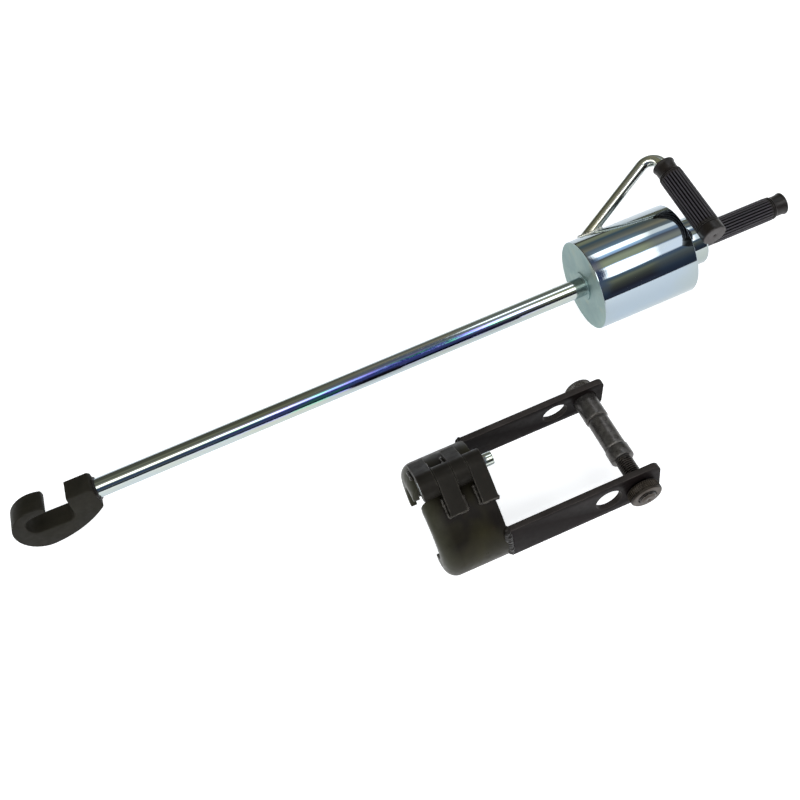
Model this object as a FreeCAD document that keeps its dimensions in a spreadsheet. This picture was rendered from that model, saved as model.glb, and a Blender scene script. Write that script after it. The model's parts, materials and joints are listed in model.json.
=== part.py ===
import FreeCAD, Part
import math
import os
import Sketcher
from FreeCAD import Placement, Rotation, Vector

# Slide hammer with a hinged clamshell puller jaw, laid side by side.
# X runs along the hammer rod from the hook to the rear grip, Z is up, and Y points from the
# jaw towards the hammer. Origin on the rod axis, at the mouth of the hook.

# Driving dimensions in mm and degrees. _r is a radius, _t a thickness, _len a length and
# _cham a chamfer; _x, _y and _z are places.
DIMENSIONS = dict(
    # rod
    rod_r=10.0, rod_spigot_r=8.0, rod_spigot_len=20.0, spigot_cham=0.8,
    rod_tail_r=9.0, tail_len=100.0, tail_cham=1.0,
    # hook
    hook_face_x=33.5, hook_thick=24.0, hook_origin_x=60.0, hook_origin_z=45.0,
    hook_roll=6.82, hook_end_r=28.0, slot_end_r=11.5, slot_corner_r=9.0, belly_r=75.0,
    hook_bore_over=0.5,
    # weight, bush, collar
    weight_r=47.4, weight_len=104.0, weight_x=560.6, weight_cham=0.9,
    bush_r=13.0, bush_flange_r=15.0, bush_flange_t=1.2, bush_cham=0.4, run_gap=0.05,
    collar_r=25.5, collar_len=26.4, collar_x=664.9, collar_round=3.0, collar_cham=0.6,
    collar_bead=3.0,
    # grips
    grip_r=12.1, grip_neck_r=10.7, grip_flange_r=11.7, grip_len=98.0, grip_neck_len=14.0,
    grip_flange_t=3.0, grip_cap_t=4.0, vent_r=1.6, rear_grip_x=694.5,
    grip_end_cham=1.0, grip_flange_cham=0.8, grip_neck_taper=1.2, grip_flange_taper=1.6,
    # side handle
    bar_r=6.0, bar_bend_r=13.0, bar_end_gap=0.2, bar_past_flange=1.0, bar_over=14.0,
    side_cap_x=679.0, side_cap_y=-42.6, side_cap_z=50.4, side_tilt=7.7,
    foot_x=591.3, foot_y=38.9, foot_z=32.1,
    bar_weld_r=10.0, bar_weld_len=12.0, bar_weld_flare=1.5, bar_weld_lip=0.6,
    bar_weld_sink=8.0, weight_envelope_over=10.0, bar_envelope_over=20.0,
    # clamshell
    jaw_y=-174.8, jaw_z=-0.5, jaw_open_half=4.5,
    shell_r=50.5, shell_wall=6.0, shell_round=12.0, shell_end_wall=6.0, shell_hole_r=31.0,
    far_arc=125.0, far_start=-42.0, near_arc=147.0, near_start=97.0,
    far_shell_x=305.7, near_shell_x=308.3, shell_end_x=368.4,
    # hinge
    hinge_rise=61.5, hinge_pin_r=6.0, hinge_pin_proud=9.0, hinge_pin_cham=0.8,
    knuckle_r=12.3, knuckle_x=312.0, knuckle_gap=0.3, knuckle_bore_over=1.0,
    knuckle_1=15.0, knuckle_2=15.5, knuckle_3=13.0, knuckle_4=14.6,
    strap_t=6.0, strap_short=12.0, strap_bead_r=2.6, strap_bead_lift=0.3,
    # arms
    arm_t=6.0, arm_out=49.5, arm_half_height=20.5, arm_len=145.0, arm_corner=7.0,
    arm_hole_r=12.5, far_pin_hole_r=11.6, near_pin_hole_r=9.5,
    arm_hole_x=126.0, arm_hole_pitch=31.0,
    arm_bead_r=4.0, arm_bead_short=0.5, arm_bead_inset=0.6, arm_bead_back=0.3,
    # cross pin
    pin_head_r=13.5, pin_head_len=8.0, pin_big_r=11.0, pin_big_len=31.6,
    pin_waist_r=10.0, pin_waist_len=35.0, pin_ring_len=12.5,
    pin_thread_r=8.0, pin_thread_len=45.0, pin_head_y=55.6,
    pin_head_cham=1.0, pin_shoulder_cham=0.8, pin_waist_ramp=0.5, pin_thread_cham=1.0,
    # nut
    nut_r=15.0, nut_len=10.0, nut_y=-55.6, nut_recess_r=10.5, nut_recess_depth=2.0,
    nut_recess_taper=0.6, nut_inner_cham=0.8, nut_outer_cham=1.0, nut_gap=0.06,
)

X_AXIS, Z_AXIS = Vector(1, 0, 0), Vector(0, 0, 1)
ALONG_X = Rotation(Z_AXIS, X_AXIS)
# Depth of a quarter round's middle inside the square corner's two faces, per mm of radius.
ROUND_INSET = 1 - math.sqrt(0.5)


# ------------------------------------------------------------------ sizes and formulas
class Size(float):
    """A number that also carries its spreadsheet formula through +, - and *."""

    def __new__(cls, value, formula=None):
        made = super().__new__(cls, value)
        made.formula = formula or "%.10g" % value
        return made

    def __add__(self, other):
        return joined(float(self) + float(other), self, "+", other)

    def __radd__(self, other):
        return joined(float(other) + float(self), other, "+", self)

    def __sub__(self, other):
        return joined(float(self) - float(other), self, "-", other)

    def __rsub__(self, other):
        return joined(float(other) - float(self), other, "-", self)

    def __mul__(self, other):
        return joined(float(self) * float(other), self, "*", other)


def formula_of(value):
    return value.formula if isinstance(value, Size) else Size(value).formula


def joined(value, left, sign, right):
    return Size(value, "(%s %s %s)" % (formula_of(left), sign, formula_of(right)))


class Dimensions:
    """The spreadsheet's values as attributes, each a Size."""

    def __init__(self, sheet, values):
        for row, (name, value) in enumerate(values.items(), 1):
            sheet.set("A%d" % row, name)
            sheet.set("B%d" % row, "%g" % value)
            sheet.setAlias("B%d" % row, name)
            setattr(self, name, Size(value, "Params." + name))


doc = FreeCAD.newDocument("slide_puller")
dim = Dimensions(doc.addObject("Spreadsheet::Sheet", "Params"), DIMENSIONS)
doc.recompute()
pieces = []


def bind(obj, prop, value):
    obj.setExpression(prop, formula_of(value))


# ------------------------------------------------------------------ sketches
def add_sketch(body, name, role="XY_Plane"):
    sketch = body.newObject("Sketcher::SketchObject", name)
    base = next(o for o in body.Origin.OriginFeatures if o.Role == role)
    sketch.AttachmentSupport = [(base, "")]
    sketch.MapMode = "FlatFace"
    return sketch


def constrain(sketch, value, kind, *where):
    """Add a dimension constraint driven by the value's formula."""
    index = sketch.addConstraint(Sketcher.Constraint(kind, *where, float(value)))
    bind(sketch, "Constraints[%d]" % index, value)


def fix_point(sketch, edge, vertex, x, y):
    """Tie a sketch vertex to its place, measured from the sketch origin."""
    for value, kind, zero_axis in ((x, "DistanceX", -2), (y, "DistanceY", -1)):
        if abs(value) < 1e-9:
            sketch.addConstraint(Sketcher.Constraint("PointOnObject", edge, vertex, zero_axis))
        else:
            constrain(sketch, value, kind, -1, 1, edge, vertex)


def ccw_arc(start, middle, end):
    """Counter-clockwise arc through three points, and whether it begins at start."""
    centre = Part.Arc(start, middle, end).toShape().Curve.Center
    turn = 2 * math.pi
    angles = [math.atan2(p.y - centre.y, p.x - centre.x) % turn for p in (start, middle, end)]
    forward = (angles[1] - angles[0]) % turn < (angles[2] - angles[0]) % turn
    first, last = (angles[0], angles[2]) if forward else (angles[2], angles[0])
    if last < first:
        last += turn
    circle = Part.Circle(Vector(centre.x, centre.y, 0), Z_AXIS, (start - centre).Length)
    return Part.ArcOfCircle(circle, first, last), forward


def add_outline(sketch, points):
    """Closed outline. Each point is (x, y) for a straight run to it, or
    (x, y, (mid_x, mid_y), radius) for an arc to it; radius None leaves the arc as drawn."""
    edges = []
    for i, (x, y, *bend) in enumerate(points):
        start, end = Vector(points[i - 1][0], points[i - 1][1], 0), Vector(x, y, 0)
        if bend:
            (mid_x, mid_y), radius = bend
            curve, forward = ccw_arc(start, Vector(mid_x, mid_y, 0), end)
        else:
            curve, forward, radius = Part.LineSegment(start, end), True, None
        first, last = (1, 2) if forward else (2, 1)
        edges.append((sketch.addGeometry(curve, False), first, last, radius))
    for i, (edge, _, last, _) in enumerate(edges):
        following, first = edges[(i + 1) % len(edges)][:2]
        sketch.addConstraint(Sketcher.Constraint("Coincident", edge, last, following, first))
        fix_point(sketch, edge, last, points[i][0], points[i][1])
    for edge, _, _, radius in edges:
        if radius is not None:
            constrain(sketch, radius, "Radius", edge)


def add_circle(sketch, x, y, radius):
    edge = sketch.addGeometry(Part.Circle(Vector(x, y, 0), Z_AXIS, float(radius)), False)
    fix_point(sketch, edge, 3, x, y)
    constrain(sketch, radius, "Radius", edge)


# ------------------------------------------------------------------ solids
def at_x(x):
    return Placement(Vector(x, 0, 0), Rotation())


def unit(vector):
    return vector * (1.0 / vector.Length)


def frame(origin, x_axis, y_axis):
    """Placement from an origin and two perpendicular unit axes."""
    z_axis = x_axis.cross(y_axis)
    return Placement(FreeCAD.Matrix(
        x_axis.x, y_axis.x, z_axis.x, origin.x,
        x_axis.y, y_axis.y, z_axis.y, origin.y,
        x_axis.z, y_axis.z, z_axis.z, origin.z,
        0, 0, 0, 1))


def turned(label, points, place, angle=360.0):
    """A piece turned about its local X axis from an outline of (x, radius)."""
    body = doc.addObject("PartDesign::Body", label)
    sketch = add_sketch(body, label + "_outline")
    add_outline(sketch, points)
    turn = body.newObject("PartDesign::Revolution", label + "_turn")
    turn.Profile = sketch
    turn.ReferenceAxis = (sketch, ["H_Axis"])
    bind(turn, "Angle", angle) if isinstance(angle, Size) else setattr(turn, "Angle", angle)
    body.Tip = turn
    body.Placement = place
    pieces.append(body)
    return body


def padded(label, points, thickness, place, holes=()):
    """A flat piece: a local XY outline padded along +Z, with holes (x, y, radius)."""
    body = doc.addObject("PartDesign::Body", label)
    sketch = add_sketch(body, label + "_outline")
    add_outline(sketch, points)
    for hole in holes:
        add_circle(sketch, *hole)
    pad = body.newObject("PartDesign::Pad", label + "_pad")
    pad.Profile = sketch
    bind(pad, "Length", thickness)
    body.Tip = pad
    body.Placement = place
    pieces.append(body)
    return body


def cylinder(name, radius, height, place):
    solid = doc.addObject("Part::Cylinder", name)
    bind(solid, "Radius", radius)
    bind(solid, "Height", height)
    solid.Placement = place
    return solid


def cut(name, base, tool):
    result = doc.addObject("Part::Cut", name)
    result.Base, result.Tool = base, tool
    return result


# ------------------------------------------------------------------ rod and hook
def slide_rod():
    """One bar: a spigot inside the hook, the shank and a turned-down tail for the grip."""
    shoulder = dim.rod_spigot_len
    tail = shoulder + (dim.collar_x + dim.collar_len - dim.hook_face_x)
    end = tail + dim.tail_len
    turned("slide_rod", [
        (0, 0),
        (0, dim.rod_spigot_r - dim.spigot_cham),
        (dim.spigot_cham, dim.rod_spigot_r),
        (shoulder, dim.rod_spigot_r),
        (shoulder, dim.rod_r),
        (tail, dim.rod_r),
        (tail, dim.rod_tail_r),
        (end - dim.tail_cham, dim.rod_tail_r),
        (end, dim.rod_tail_r - dim.tail_cham),
        (end, 0),
    ], at_x(dim.hook_face_x - dim.rod_spigot_len))


# Hook places (x, z) from the rod axis, before the hook is rolled.
HOOK_END_X, HOOK_END_Z = -27.0, -10.0     # centre of the rounded end
HOOK_SLOT_X, HOOK_SLOT_Z = -28.0, -3.0    # centre of the slot's round end
HOOK_TIP_X = -14.7


def hook_outline():
    """Local x is along the rod, local y up the hook, both shifted to stay positive."""
    def at(x, z):
        return dim.hook_origin_x + x, dim.hook_origin_z + z

    def arc(to, middle, radius):
        return at(*to) + (at(*middle), radius)

    end_r, slot_r = dim.hook_end_r, dim.slot_end_r
    tip_z = HOOK_END_Z + math.sqrt(end_r ** 2 - (HOOK_TIP_X - HOOK_END_X) ** 2)
    return [
        at(8.0, 14.3),
        at(31.0, 14.3),
        at(dim.hook_face_x, 11.6),
        at(dim.hook_face_x, -12.5),
        at(30.5, -16.5),
        arc((HOOK_END_X, HOOK_END_Z - end_r), (6.0, -31.0), dim.belly_r),
        arc((HOOK_TIP_X, tip_z), (HOOK_END_X - end_r, HOOK_END_Z), end_r),
        at(HOOK_TIP_X, 9.2),
        at(HOOK_SLOT_X, HOOK_SLOT_Z + slot_r),
        arc((HOOK_SLOT_X, HOOK_SLOT_Z - slot_r), (HOOK_SLOT_X - slot_r, HOOK_SLOT_Z), None),
        at(-3.0, -15.2),
        arc((6.2, -6.2), (3.4, -12.7), dim.slot_corner_r),
    ]


def hook():
    """Block hook, rolled about the rod, with a blind bore for the rod's spigot."""
    upright = Placement(Vector(-dim.hook_origin_x, dim.hook_thick / 2, -dim.hook_origin_z),
                        Rotation(X_AXIS, 90))
    roll = Placement(Vector(), Rotation(X_AXIS, -dim.hook_roll))
    body = padded("hook", hook_outline(), dim.hook_thick, roll * upright)
    sketch = add_sketch(body, "hook_bore_sketch", "YZ_Plane")
    add_circle(sketch, dim.hook_origin_z, dim.hook_thick * 0.5, dim.rod_spigot_r)
    bind(sketch, "AttachmentOffset.Base.z", dim.hook_origin_x + dim.hook_face_x)
    bore = body.newObject("PartDesign::Pocket", "hook_bore")
    bore.Profile = sketch
    bind(bore, "Length", dim.rod_spigot_len + dim.hook_bore_over)
    body.Tip = bore


def weld_ring(label, seat_r, section, x):
    """Weld bead round the rod; section is a list of (x, rise above the seat)."""
    turned(label, [(along, seat_r + rise) for along, rise in section], at_x(x))


slide_rod()
hook()
HOOK_WELD_SECTION = [(0, 0), (0, 2.4), (0.9, 2.0), (2.0, 0.9), (2.4, 0)]
weld_ring("hook_weld", dim.rod_r, HOOK_WELD_SECTION, dim.hook_face_x)


# ------------------------------------------------------------------ weight, bush, collar
def guide_bush():
    bore_r, flange_r, flange_t = dim.rod_r + dim.run_gap, dim.bush_flange_r, dim.bush_flange_t
    turned("guide_bush", [
        (0, bore_r),
        (0, flange_r - dim.bush_cham),
        (dim.bush_cham, flange_r),
        (flange_t, flange_r),
        (flange_t, dim.bush_r),
        (flange_t + dim.weight_len, dim.bush_r),
        (flange_t + dim.weight_len, bore_r),
    ], at_x(dim.weight_x - flange_t))


def slide_weight():
    bore_r, radius = dim.bush_r + dim.run_gap, dim.weight_r
    length, cham = dim.weight_len, dim.weight_cham
    turned("slide_weight", [
        (0, bore_r),
        (0, radius - cham),
        (cham, radius),
        (length - cham, radius),
        (length, radius - cham),
        (length, bore_r),
    ], at_x(dim.weight_x))


def stop_collar():
    """Collar with a chamfered hook-side rim and a rounded grip-side rim."""
    radius, length, rim = dim.collar_r, dim.collar_len, dim.collar_round
    inset = rim * ROUND_INSET
    turned("stop_collar", [
        (0, dim.rod_r),
        (0, radius - dim.collar_cham),
        (dim.collar_cham, radius),
        (length - rim, radius),
        (length, radius - rim, (length - inset, radius - inset), rim),
        (length, dim.rod_r),
    ], at_x(dim.collar_x))


guide_bush()
slide_weight()
stop_collar()
bead = dim.collar_bead
COLLAR_WELD_SECTION = [(0, 0), (0, bead + 1.0), (1.2, bead + 0.3), (bead - 0.3, 1.2), (bead, 0)]
weld_ring("stop_collar_weld", dim.rod_tail_r, COLLAR_WELD_SECTION,
          dim.collar_x + dim.collar_len)


# ------------------------------------------------------------------ rubber grips
def grip(label, bore_r, capped, place):
    """Rubber sleeve. Local x runs from the plain end to the flanged end; a capped grip
    has its plain end closed but for a small vent."""
    length, radius = dim.grip_len, dim.grip_r
    neck_r, flange_r = dim.grip_neck_r, dim.grip_flange_r
    neck, flange = length - dim.grip_neck_len, length - dim.grip_flange_t
    points = [
        (dim.grip_end_cham, radius),
        (neck, radius),
        (neck + dim.grip_neck_taper, neck_r),
        (flange - dim.grip_flange_taper, neck_r),
        (flange, flange_r),
        (length - dim.grip_flange_cham, flange_r),
        (length, flange_r - dim.grip_flange_cham),
        (length, bore_r),
    ]
    if capped:
        points += [(dim.grip_cap_t, bore_r), (dim.grip_cap_t, dim.vent_r), (0, dim.vent_r)]
    else:
        points += [(0, bore_r)]
    points += [(0, radius - dim.grip_end_cham)]
    turned(label, points, place)


# The side grip lies crosswise over the stop collar, dropping slightly towards its capped
# end on the -Y side.
tilt = math.radians(dim.side_tilt)
cap_end = Vector(dim.side_cap_x, dim.side_cap_y, dim.side_cap_z)
toward_flange = Vector(0, math.cos(tilt), math.sin(tilt))

grip("rear_grip", dim.rod_tail_r, False, at_x(dim.rear_grip_x))
grip("side_grip", dim.bar_r, True, Placement(cap_end, Rotation(X_AXIS, toward_flange)))

# ------------------------------------------------------------------ side handle
# One round bar, bent once: straight inside the grip, then slanting down towards the hook
# to a foot on the weight. The apex is where the two straight centre lines meet; its distance
# from the capped end depends on the bend's tangent length, so it is found by iteration.
TANGENT_GUESS = 19.0
foot = Vector(dim.foot_x, dim.foot_y, dim.foot_z)
bend_start = float(dim.grip_len + dim.bar_past_flange)
apex_reach = bend_start + TANGENT_GUESS
for _ in range(8):
    leg = foot - (cap_end + toward_flange * apex_reach)
    bend_angle = math.acos(toward_flange.dot(unit(leg)))
    tangent_len = float(dim.bar_bend_r) * math.tan(bend_angle / 2)
    apex_reach = bend_start + tangent_len
down_leg = unit(leg)


def bar_blank():
    """The bent bar, its leg running on into the weight by bar_over."""
    bar_start = float(dim.grip_cap_t + dim.bar_end_gap)
    straight = apex_reach - tangent_len - bar_start
    bend_r = float(dim.bar_bend_r)

    def on_bend(angle):
        return Vector(straight + bend_r * math.sin(angle), bend_r - bend_r * math.cos(angle), 0)

    body = doc.addObject("PartDesign::Body", "bar_blank")
    path = add_sketch(body, "bar_path")
    bend_in, bend_out = Vector(straight, 0, 0), on_bend(bend_angle)
    leg_axis = Vector(math.cos(bend_angle), math.sin(bend_angle), 0)
    leg_end = bend_out + leg_axis * (leg.Length - tangent_len + float(dim.bar_over))
    path.addGeometry(Part.LineSegment(Vector(), bend_in), False)
    path.addGeometry(Part.Arc(bend_in, on_bend(bend_angle / 2), bend_out), False)
    path.addGeometry(Part.LineSegment(bend_out, leg_end), False)
    path.addConstraint(Sketcher.Constraint("Coincident", 0, 1, -1, 1))
    path.addConstraint(Sketcher.Constraint("PointOnObject", 0, 2, -1))
    path.addConstraint(Sketcher.Constraint("Tangent", 0, 2, 1, 1))
    path.addConstraint(Sketcher.Constraint("Tangent", 1, 2, 2, 1))
    constrain(path, dim.bar_bend_r, "Radius", 1)
    section = add_sketch(body, "bar_section", "YZ_Plane")
    add_circle(section, 0, 0, dim.bar_r)
    sweep = body.newObject("PartDesign::AdditivePipe", "bar_sweep")
    sweep.Profile = section
    sweep.Spine = (path, ["Edge1", "Edge2", "Edge3"])
    body.Tip = sweep
    bend_side = unit(down_leg - toward_flange * down_leg.dot(toward_flange))
    body.Placement = frame(cap_end + toward_flange * bar_start, toward_flange, bend_side)
    return body


def weight_envelope(name):
    """The weight's outer cylinder, longer at both ends, for trimming to its curve."""
    over = dim.weight_envelope_over
    return cylinder(name, dim.weight_r, dim.weight_len + over * 2,
                    Placement(Vector(dim.weight_x - over, 0, 0), ALONG_X))


def side_handle_weld():
    """Conical bead round the foot, trimmed to the weight and the bar."""
    up_leg = down_leg * -1.0
    along_leg = Rotation(Z_AXIS, up_leg)
    cone = doc.addObject("Part::Cone", "foot_bead_blank")
    bind(cone, "Radius1", dim.bar_weld_r + dim.bar_weld_flare)
    bind(cone, "Radius2", dim.bar_r + dim.bar_weld_lip)
    bind(cone, "Height", dim.bar_weld_len + dim.bar_weld_sink)
    cone.Placement = Placement(foot - up_leg * float(dim.bar_weld_sink), along_leg)
    over = dim.bar_envelope_over
    bar_envelope = cylinder("bar_envelope", dim.bar_r, dim.bar_weld_len + over * 2,
                            Placement(foot - up_leg * float(over), along_leg))
    on_weight = cut("foot_bead_1", cone, weight_envelope("weight_envelope_2"))
    pieces.append(cut("side_handle_weld", on_weight, bar_envelope))


pieces.append(cut("side_handle_bar", bar_blank(), weight_envelope("weight_envelope")))
side_handle_weld()

# ------------------------------------------------------------------ clamshell jaw
# Built closed, with the origin on the bore axis; each half then swings open about the hinge.
# The far half is on the +Y side, the near half on the -Y side.
JAW = Placement(Vector(0, dim.jaw_y, dim.jaw_z), Rotation())
HINGE = Vector(0, 0, dim.hinge_rise)
SIDE = {"near": -1, "far": 1}


def swung(angle):
    return JAW * Placement(HINGE, Rotation(X_AXIS, angle)) * Placement(HINGE * -1.0, Rotation())


OPEN = {half: swung(side * float(dim.jaw_open_half)) for half, side in SIDE.items()}


def shell(half, shell_x, arc, start):
    """Part-turn shell with a rounded, holed end wall; start is the angle from +Y."""
    radius, wall, hole_r = dim.shell_r, dim.shell_wall, dim.shell_hole_r
    outer_round, end_wall, length = dim.shell_round, dim.shell_end_wall, dim.shell_end_x - shell_x
    inner_round = outer_round - wall
    outer_inset = outer_round * ROUND_INSET
    inner_inset = wall + inner_round * ROUND_INSET
    return turned(half + "_half_shell", [
        (0, hole_r),
        (0, radius - outer_round),
        (outer_round, radius, (outer_inset, radius - outer_inset), outer_round),
        (length, radius),
        (length, radius - wall),
        (outer_round, radius - wall),
        (end_wall, radius - outer_round, (inner_inset, radius - inner_inset), inner_round),
        (end_wall, hole_r),
    ], OPEN[half] * Placement(Vector(shell_x, 0, 0), Rotation(X_AXIS, float(start))), angle=arc)


shells = {
    "far": shell("far", dim.far_shell_x, dim.far_arc, dim.far_start),
    "near": shell("near", dim.near_shell_x, dim.near_arc, dim.near_start),
}

# ------------------------------------------------------------------ hinge
# Each strap is a roll round the pin with one flat leg lying tangent to its own shell.
# strap_lean is the angle between the leg's outward normal and Z.
tangent_drop = float(dim.shell_r + dim.strap_t - dim.knuckle_r)
strap_lean = math.acos(tangent_drop / float(dim.hinge_rise))
strap_leg_len = math.sqrt(dim.hinge_rise ** 2 - tangent_drop ** 2) - float(dim.strap_short)


def leg_axes(half):
    """Unit vectors square out of a strap's leg and down along it."""
    side, sine, cosine = SIDE[half], math.sin(strap_lean), math.cos(strap_lean)
    return Vector(0, side * sine, cosine), Vector(0, side * cosine, -sine)


def leg_root(half):
    """Inner face of the leg, level with the pin."""
    return HINGE + leg_axes(half)[0] * float(dim.knuckle_r - dim.strap_t)


def strap(label, half, x, width):
    place = OPEN[half]
    roll = cylinder(label + "_roll", dim.knuckle_r, width,
                    place * Placement(HINGE + Vector(x, 0, 0), ALONG_X))
    box = doc.addObject("Part::Box", label + "_leg")
    bind(box, "Length", width)
    box.Width = strap_leg_len
    bind(box, "Height", dim.strap_t)
    box_x = x if half == "far" else x + width
    box.Placement = place * frame(leg_root(half) + Vector(box_x, 0, 0),
                                  X_AXIS * SIDE[half], leg_axes(half)[1])
    blank = doc.addObject("Part::Fuse", label + "_blank")
    blank.Base, blank.Tool = roll, box
    over = dim.knuckle_bore_over
    bore = cylinder(label + "_bore", dim.hinge_pin_r + dim.run_gap, width + over * 2,
                    place * Placement(HINGE + Vector(x - over, 0, 0), ALONG_X))
    result = cut(label, blank, bore)
    pieces.append(result)
    return result


def strap_bead(label, half, x, width, strap_piece):
    """Bead across the end of a strap's leg, trimmed to the shell and the strap."""
    outward, down = leg_axes(half)
    centre = leg_root(half) + down * strap_leg_len + outward * float(dim.strap_bead_lift)
    rod = cylinder(label + "_rod", dim.strap_bead_r, width,
                   OPEN[half] * Placement(centre + Vector(x, 0, 0), ALONG_X))
    on_shell = cut(label + "_a", rod, shells[half])
    return cut(label + "_b", on_shell, strap_piece)


def hinge_pin():
    radius, cham = dim.hinge_pin_r, dim.hinge_pin_cham
    length = (dim.knuckle_1 + dim.knuckle_2 + dim.knuckle_3 + dim.knuckle_4
              + dim.knuckle_gap * 3 + dim.hinge_pin_proud)
    turned("hinge_pin", [
        (0, 0),
        (0, radius - cham),
        (cham, radius),
        (length - cham, radius),
        (length, radius - cham),
        (length, 0),
    ], OPEN["far"] * Placement(HINGE + Vector(dim.knuckle_x, 0, 0), Rotation()))


# Knuckles in order along +X: half, row, width.
KNUCKLES = [
    ("far", "front", dim.knuckle_1),
    ("near", "front", dim.knuckle_2),
    ("far", "rear", dim.knuckle_3),
    ("near", "rear", dim.knuckle_4),
]
strap_beads = {"near": [], "far": []}
knuckle_x = dim.knuckle_x
for half, row, width in KNUCKLES:
    piece = strap("%s_strap_%s" % (half, row), half, knuckle_x, width)
    bead_label = "%s_bead_%d" % (half, len(strap_beads[half]) + 1)
    strap_beads[half].append(strap_bead(bead_label, half, knuckle_x, width, piece))
    knuckle_x = knuckle_x + width + dim.knuckle_gap
for half, beads in strap_beads.items():
    welds = doc.addObject("Part::Compound", half + "_strap_welds")
    welds.Links = beads
    pieces.append(welds)
hinge_pin()


# ------------------------------------------------------------------ arms
def arm(half, outer_y, pin_hole_r):
    """Flat arm with two rounded corners and two holes; outer_y is its +Y face."""
    length, height, corner = dim.arm_len, dim.arm_half_height * 2, dim.arm_corner
    inset = corner * ROUND_INSET
    return padded(half + "_arm", [
        (0, 0),
        (length - corner, 0),
        (length, corner, (length - inset, inset), corner),
        (length, height - corner),
        (length - corner, height, (length - inset, height - inset), corner),
        (0, height),
    ], dim.arm_t, OPEN[half] * Placement(
        Vector(dim.shell_end_x, outer_y, -dim.arm_half_height), Rotation(X_AXIS, 90)), holes=[
        (dim.arm_hole_x, dim.arm_half_height, pin_hole_r),
        (dim.arm_hole_x - dim.arm_hole_pitch, dim.arm_half_height, dim.arm_hole_r),
    ])


def arm_weld(half, arm_piece):
    """Upright bead where the arm meets the shell, trimmed to both."""
    label, short = half + "_arm_weld", dim.arm_bead_short
    corner = Vector(dim.shell_end_x - dim.arm_bead_back,
                    SIDE[half] * float(dim.arm_out - dim.arm_bead_inset),
                    short - dim.arm_half_height)
    rod = cylinder(label + "_rod", dim.arm_bead_r, dim.arm_half_height * 2 - short * 2,
                   OPEN[half] * Placement(corner, Rotation()))
    on_shell = cut(label + "_a", rod, shells[half])
    pieces.append(cut(label, on_shell, arm_piece))


arm_weld("far", arm("far", dim.arm_out, dim.far_pin_hole_r))
arm_weld("near", arm("near", dim.arm_t - dim.arm_out, dim.near_pin_hole_r))

# ------------------------------------------------------------------ cross pin and nut
# The pin runs along -Y through the arms' outer holes, at their height with the jaw open.
half_open = math.radians(dim.jaw_open_half)
arm_mid_y = dim.arm_out - dim.arm_t * 0.5
pin_x = dim.shell_end_x + dim.arm_hole_x
pin_z = float(dim.hinge_rise) * (1 - math.cos(half_open)) + float(arm_mid_y) * math.sin(half_open)


def on_pin_axis(y):
    """Local x pointing along -Y, starting at y."""
    return JAW * Placement(Vector(pin_x, y, pin_z), Rotation(Z_AXIS, -90))


def cross_pin():
    head_r, big_r, waist_r, thread_r = (
        dim.pin_head_r, dim.pin_big_r, dim.pin_waist_r, dim.pin_thread_r)
    head_cham, shoulder, ramp = dim.pin_head_cham, dim.pin_shoulder_cham, dim.pin_waist_ramp
    head = dim.pin_head_len
    waist = head + dim.pin_big_len
    ring = waist + dim.pin_waist_len
    thread = ring + dim.pin_ring_len
    end = thread + dim.pin_thread_len
    turned("cross_pin", [
        (0, 0), (0, head_r - head_cham), (head_cham, head_r),
        (head - shoulder, head_r), (head, head_r - shoulder), (head, big_r),
        (waist - ramp, big_r), (waist, waist_r), (ring, waist_r), (ring + ramp, big_r),
        (thread - shoulder, big_r), (thread, big_r - shoulder), (thread, thread_r),
        (end - dim.pin_thread_cham, thread_r), (end, thread_r - dim.pin_thread_cham), (end, 0),
    ], on_pin_axis(dim.pin_head_y + dim.pin_head_len))


def knurled_nut():
    """Plain round nut with a shallow tapered recess in its outer face."""
    bore_r, radius, length = dim.pin_thread_r + dim.nut_gap, dim.nut_r, dim.nut_len
    floor = length - dim.nut_recess_depth
    turned("knurled_nut", [
        (0, bore_r),
        (0, radius - dim.nut_inner_cham),
        (dim.nut_inner_cham, radius),
        (length - dim.nut_outer_cham, radius),
        (length, radius - dim.nut_outer_cham),
        (length, dim.nut_recess_r),
        (floor, dim.nut_recess_r - dim.nut_recess_taper),
        (floor, bore_r),
    ], on_pin_axis(dim.nut_y))


cross_pin()
knurled_nut()

# ------------------------------------------------------------------ check and write
doc.recompute()
failed = [o.Name for o in doc.Objects if "Invalid" in o.State or "Error" in o.State]
if failed:
    raise SystemExit("failed objects: %s" % failed)
os.makedirs("parts", exist_ok=True)
for piece in pieces:
    shape = piece.Shape
    if shape.isNull() or not shape.isValid() or shape.Volume <= 0:
        raise SystemExit("bad shape: %s" % piece.Label)
    shape.exportStep("parts/%s.step" % piece.Label)
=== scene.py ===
"""Slide hammer with a hook, and in front of it an open clamshell hinged along its top.

The row frame is in mm, scaled to metres as meshes are made. The hammer's rod lies on the x axis,
hook at low x and rear grip at high x. z is up. The clamshell's axis runs parallel to the rod at
y = CLAM_Y. Its near half is on the -y side and its far half on the +y side.
"""
import bpy, bmesh, math, random, json
from mathutils import Vector, Matrix

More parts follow.
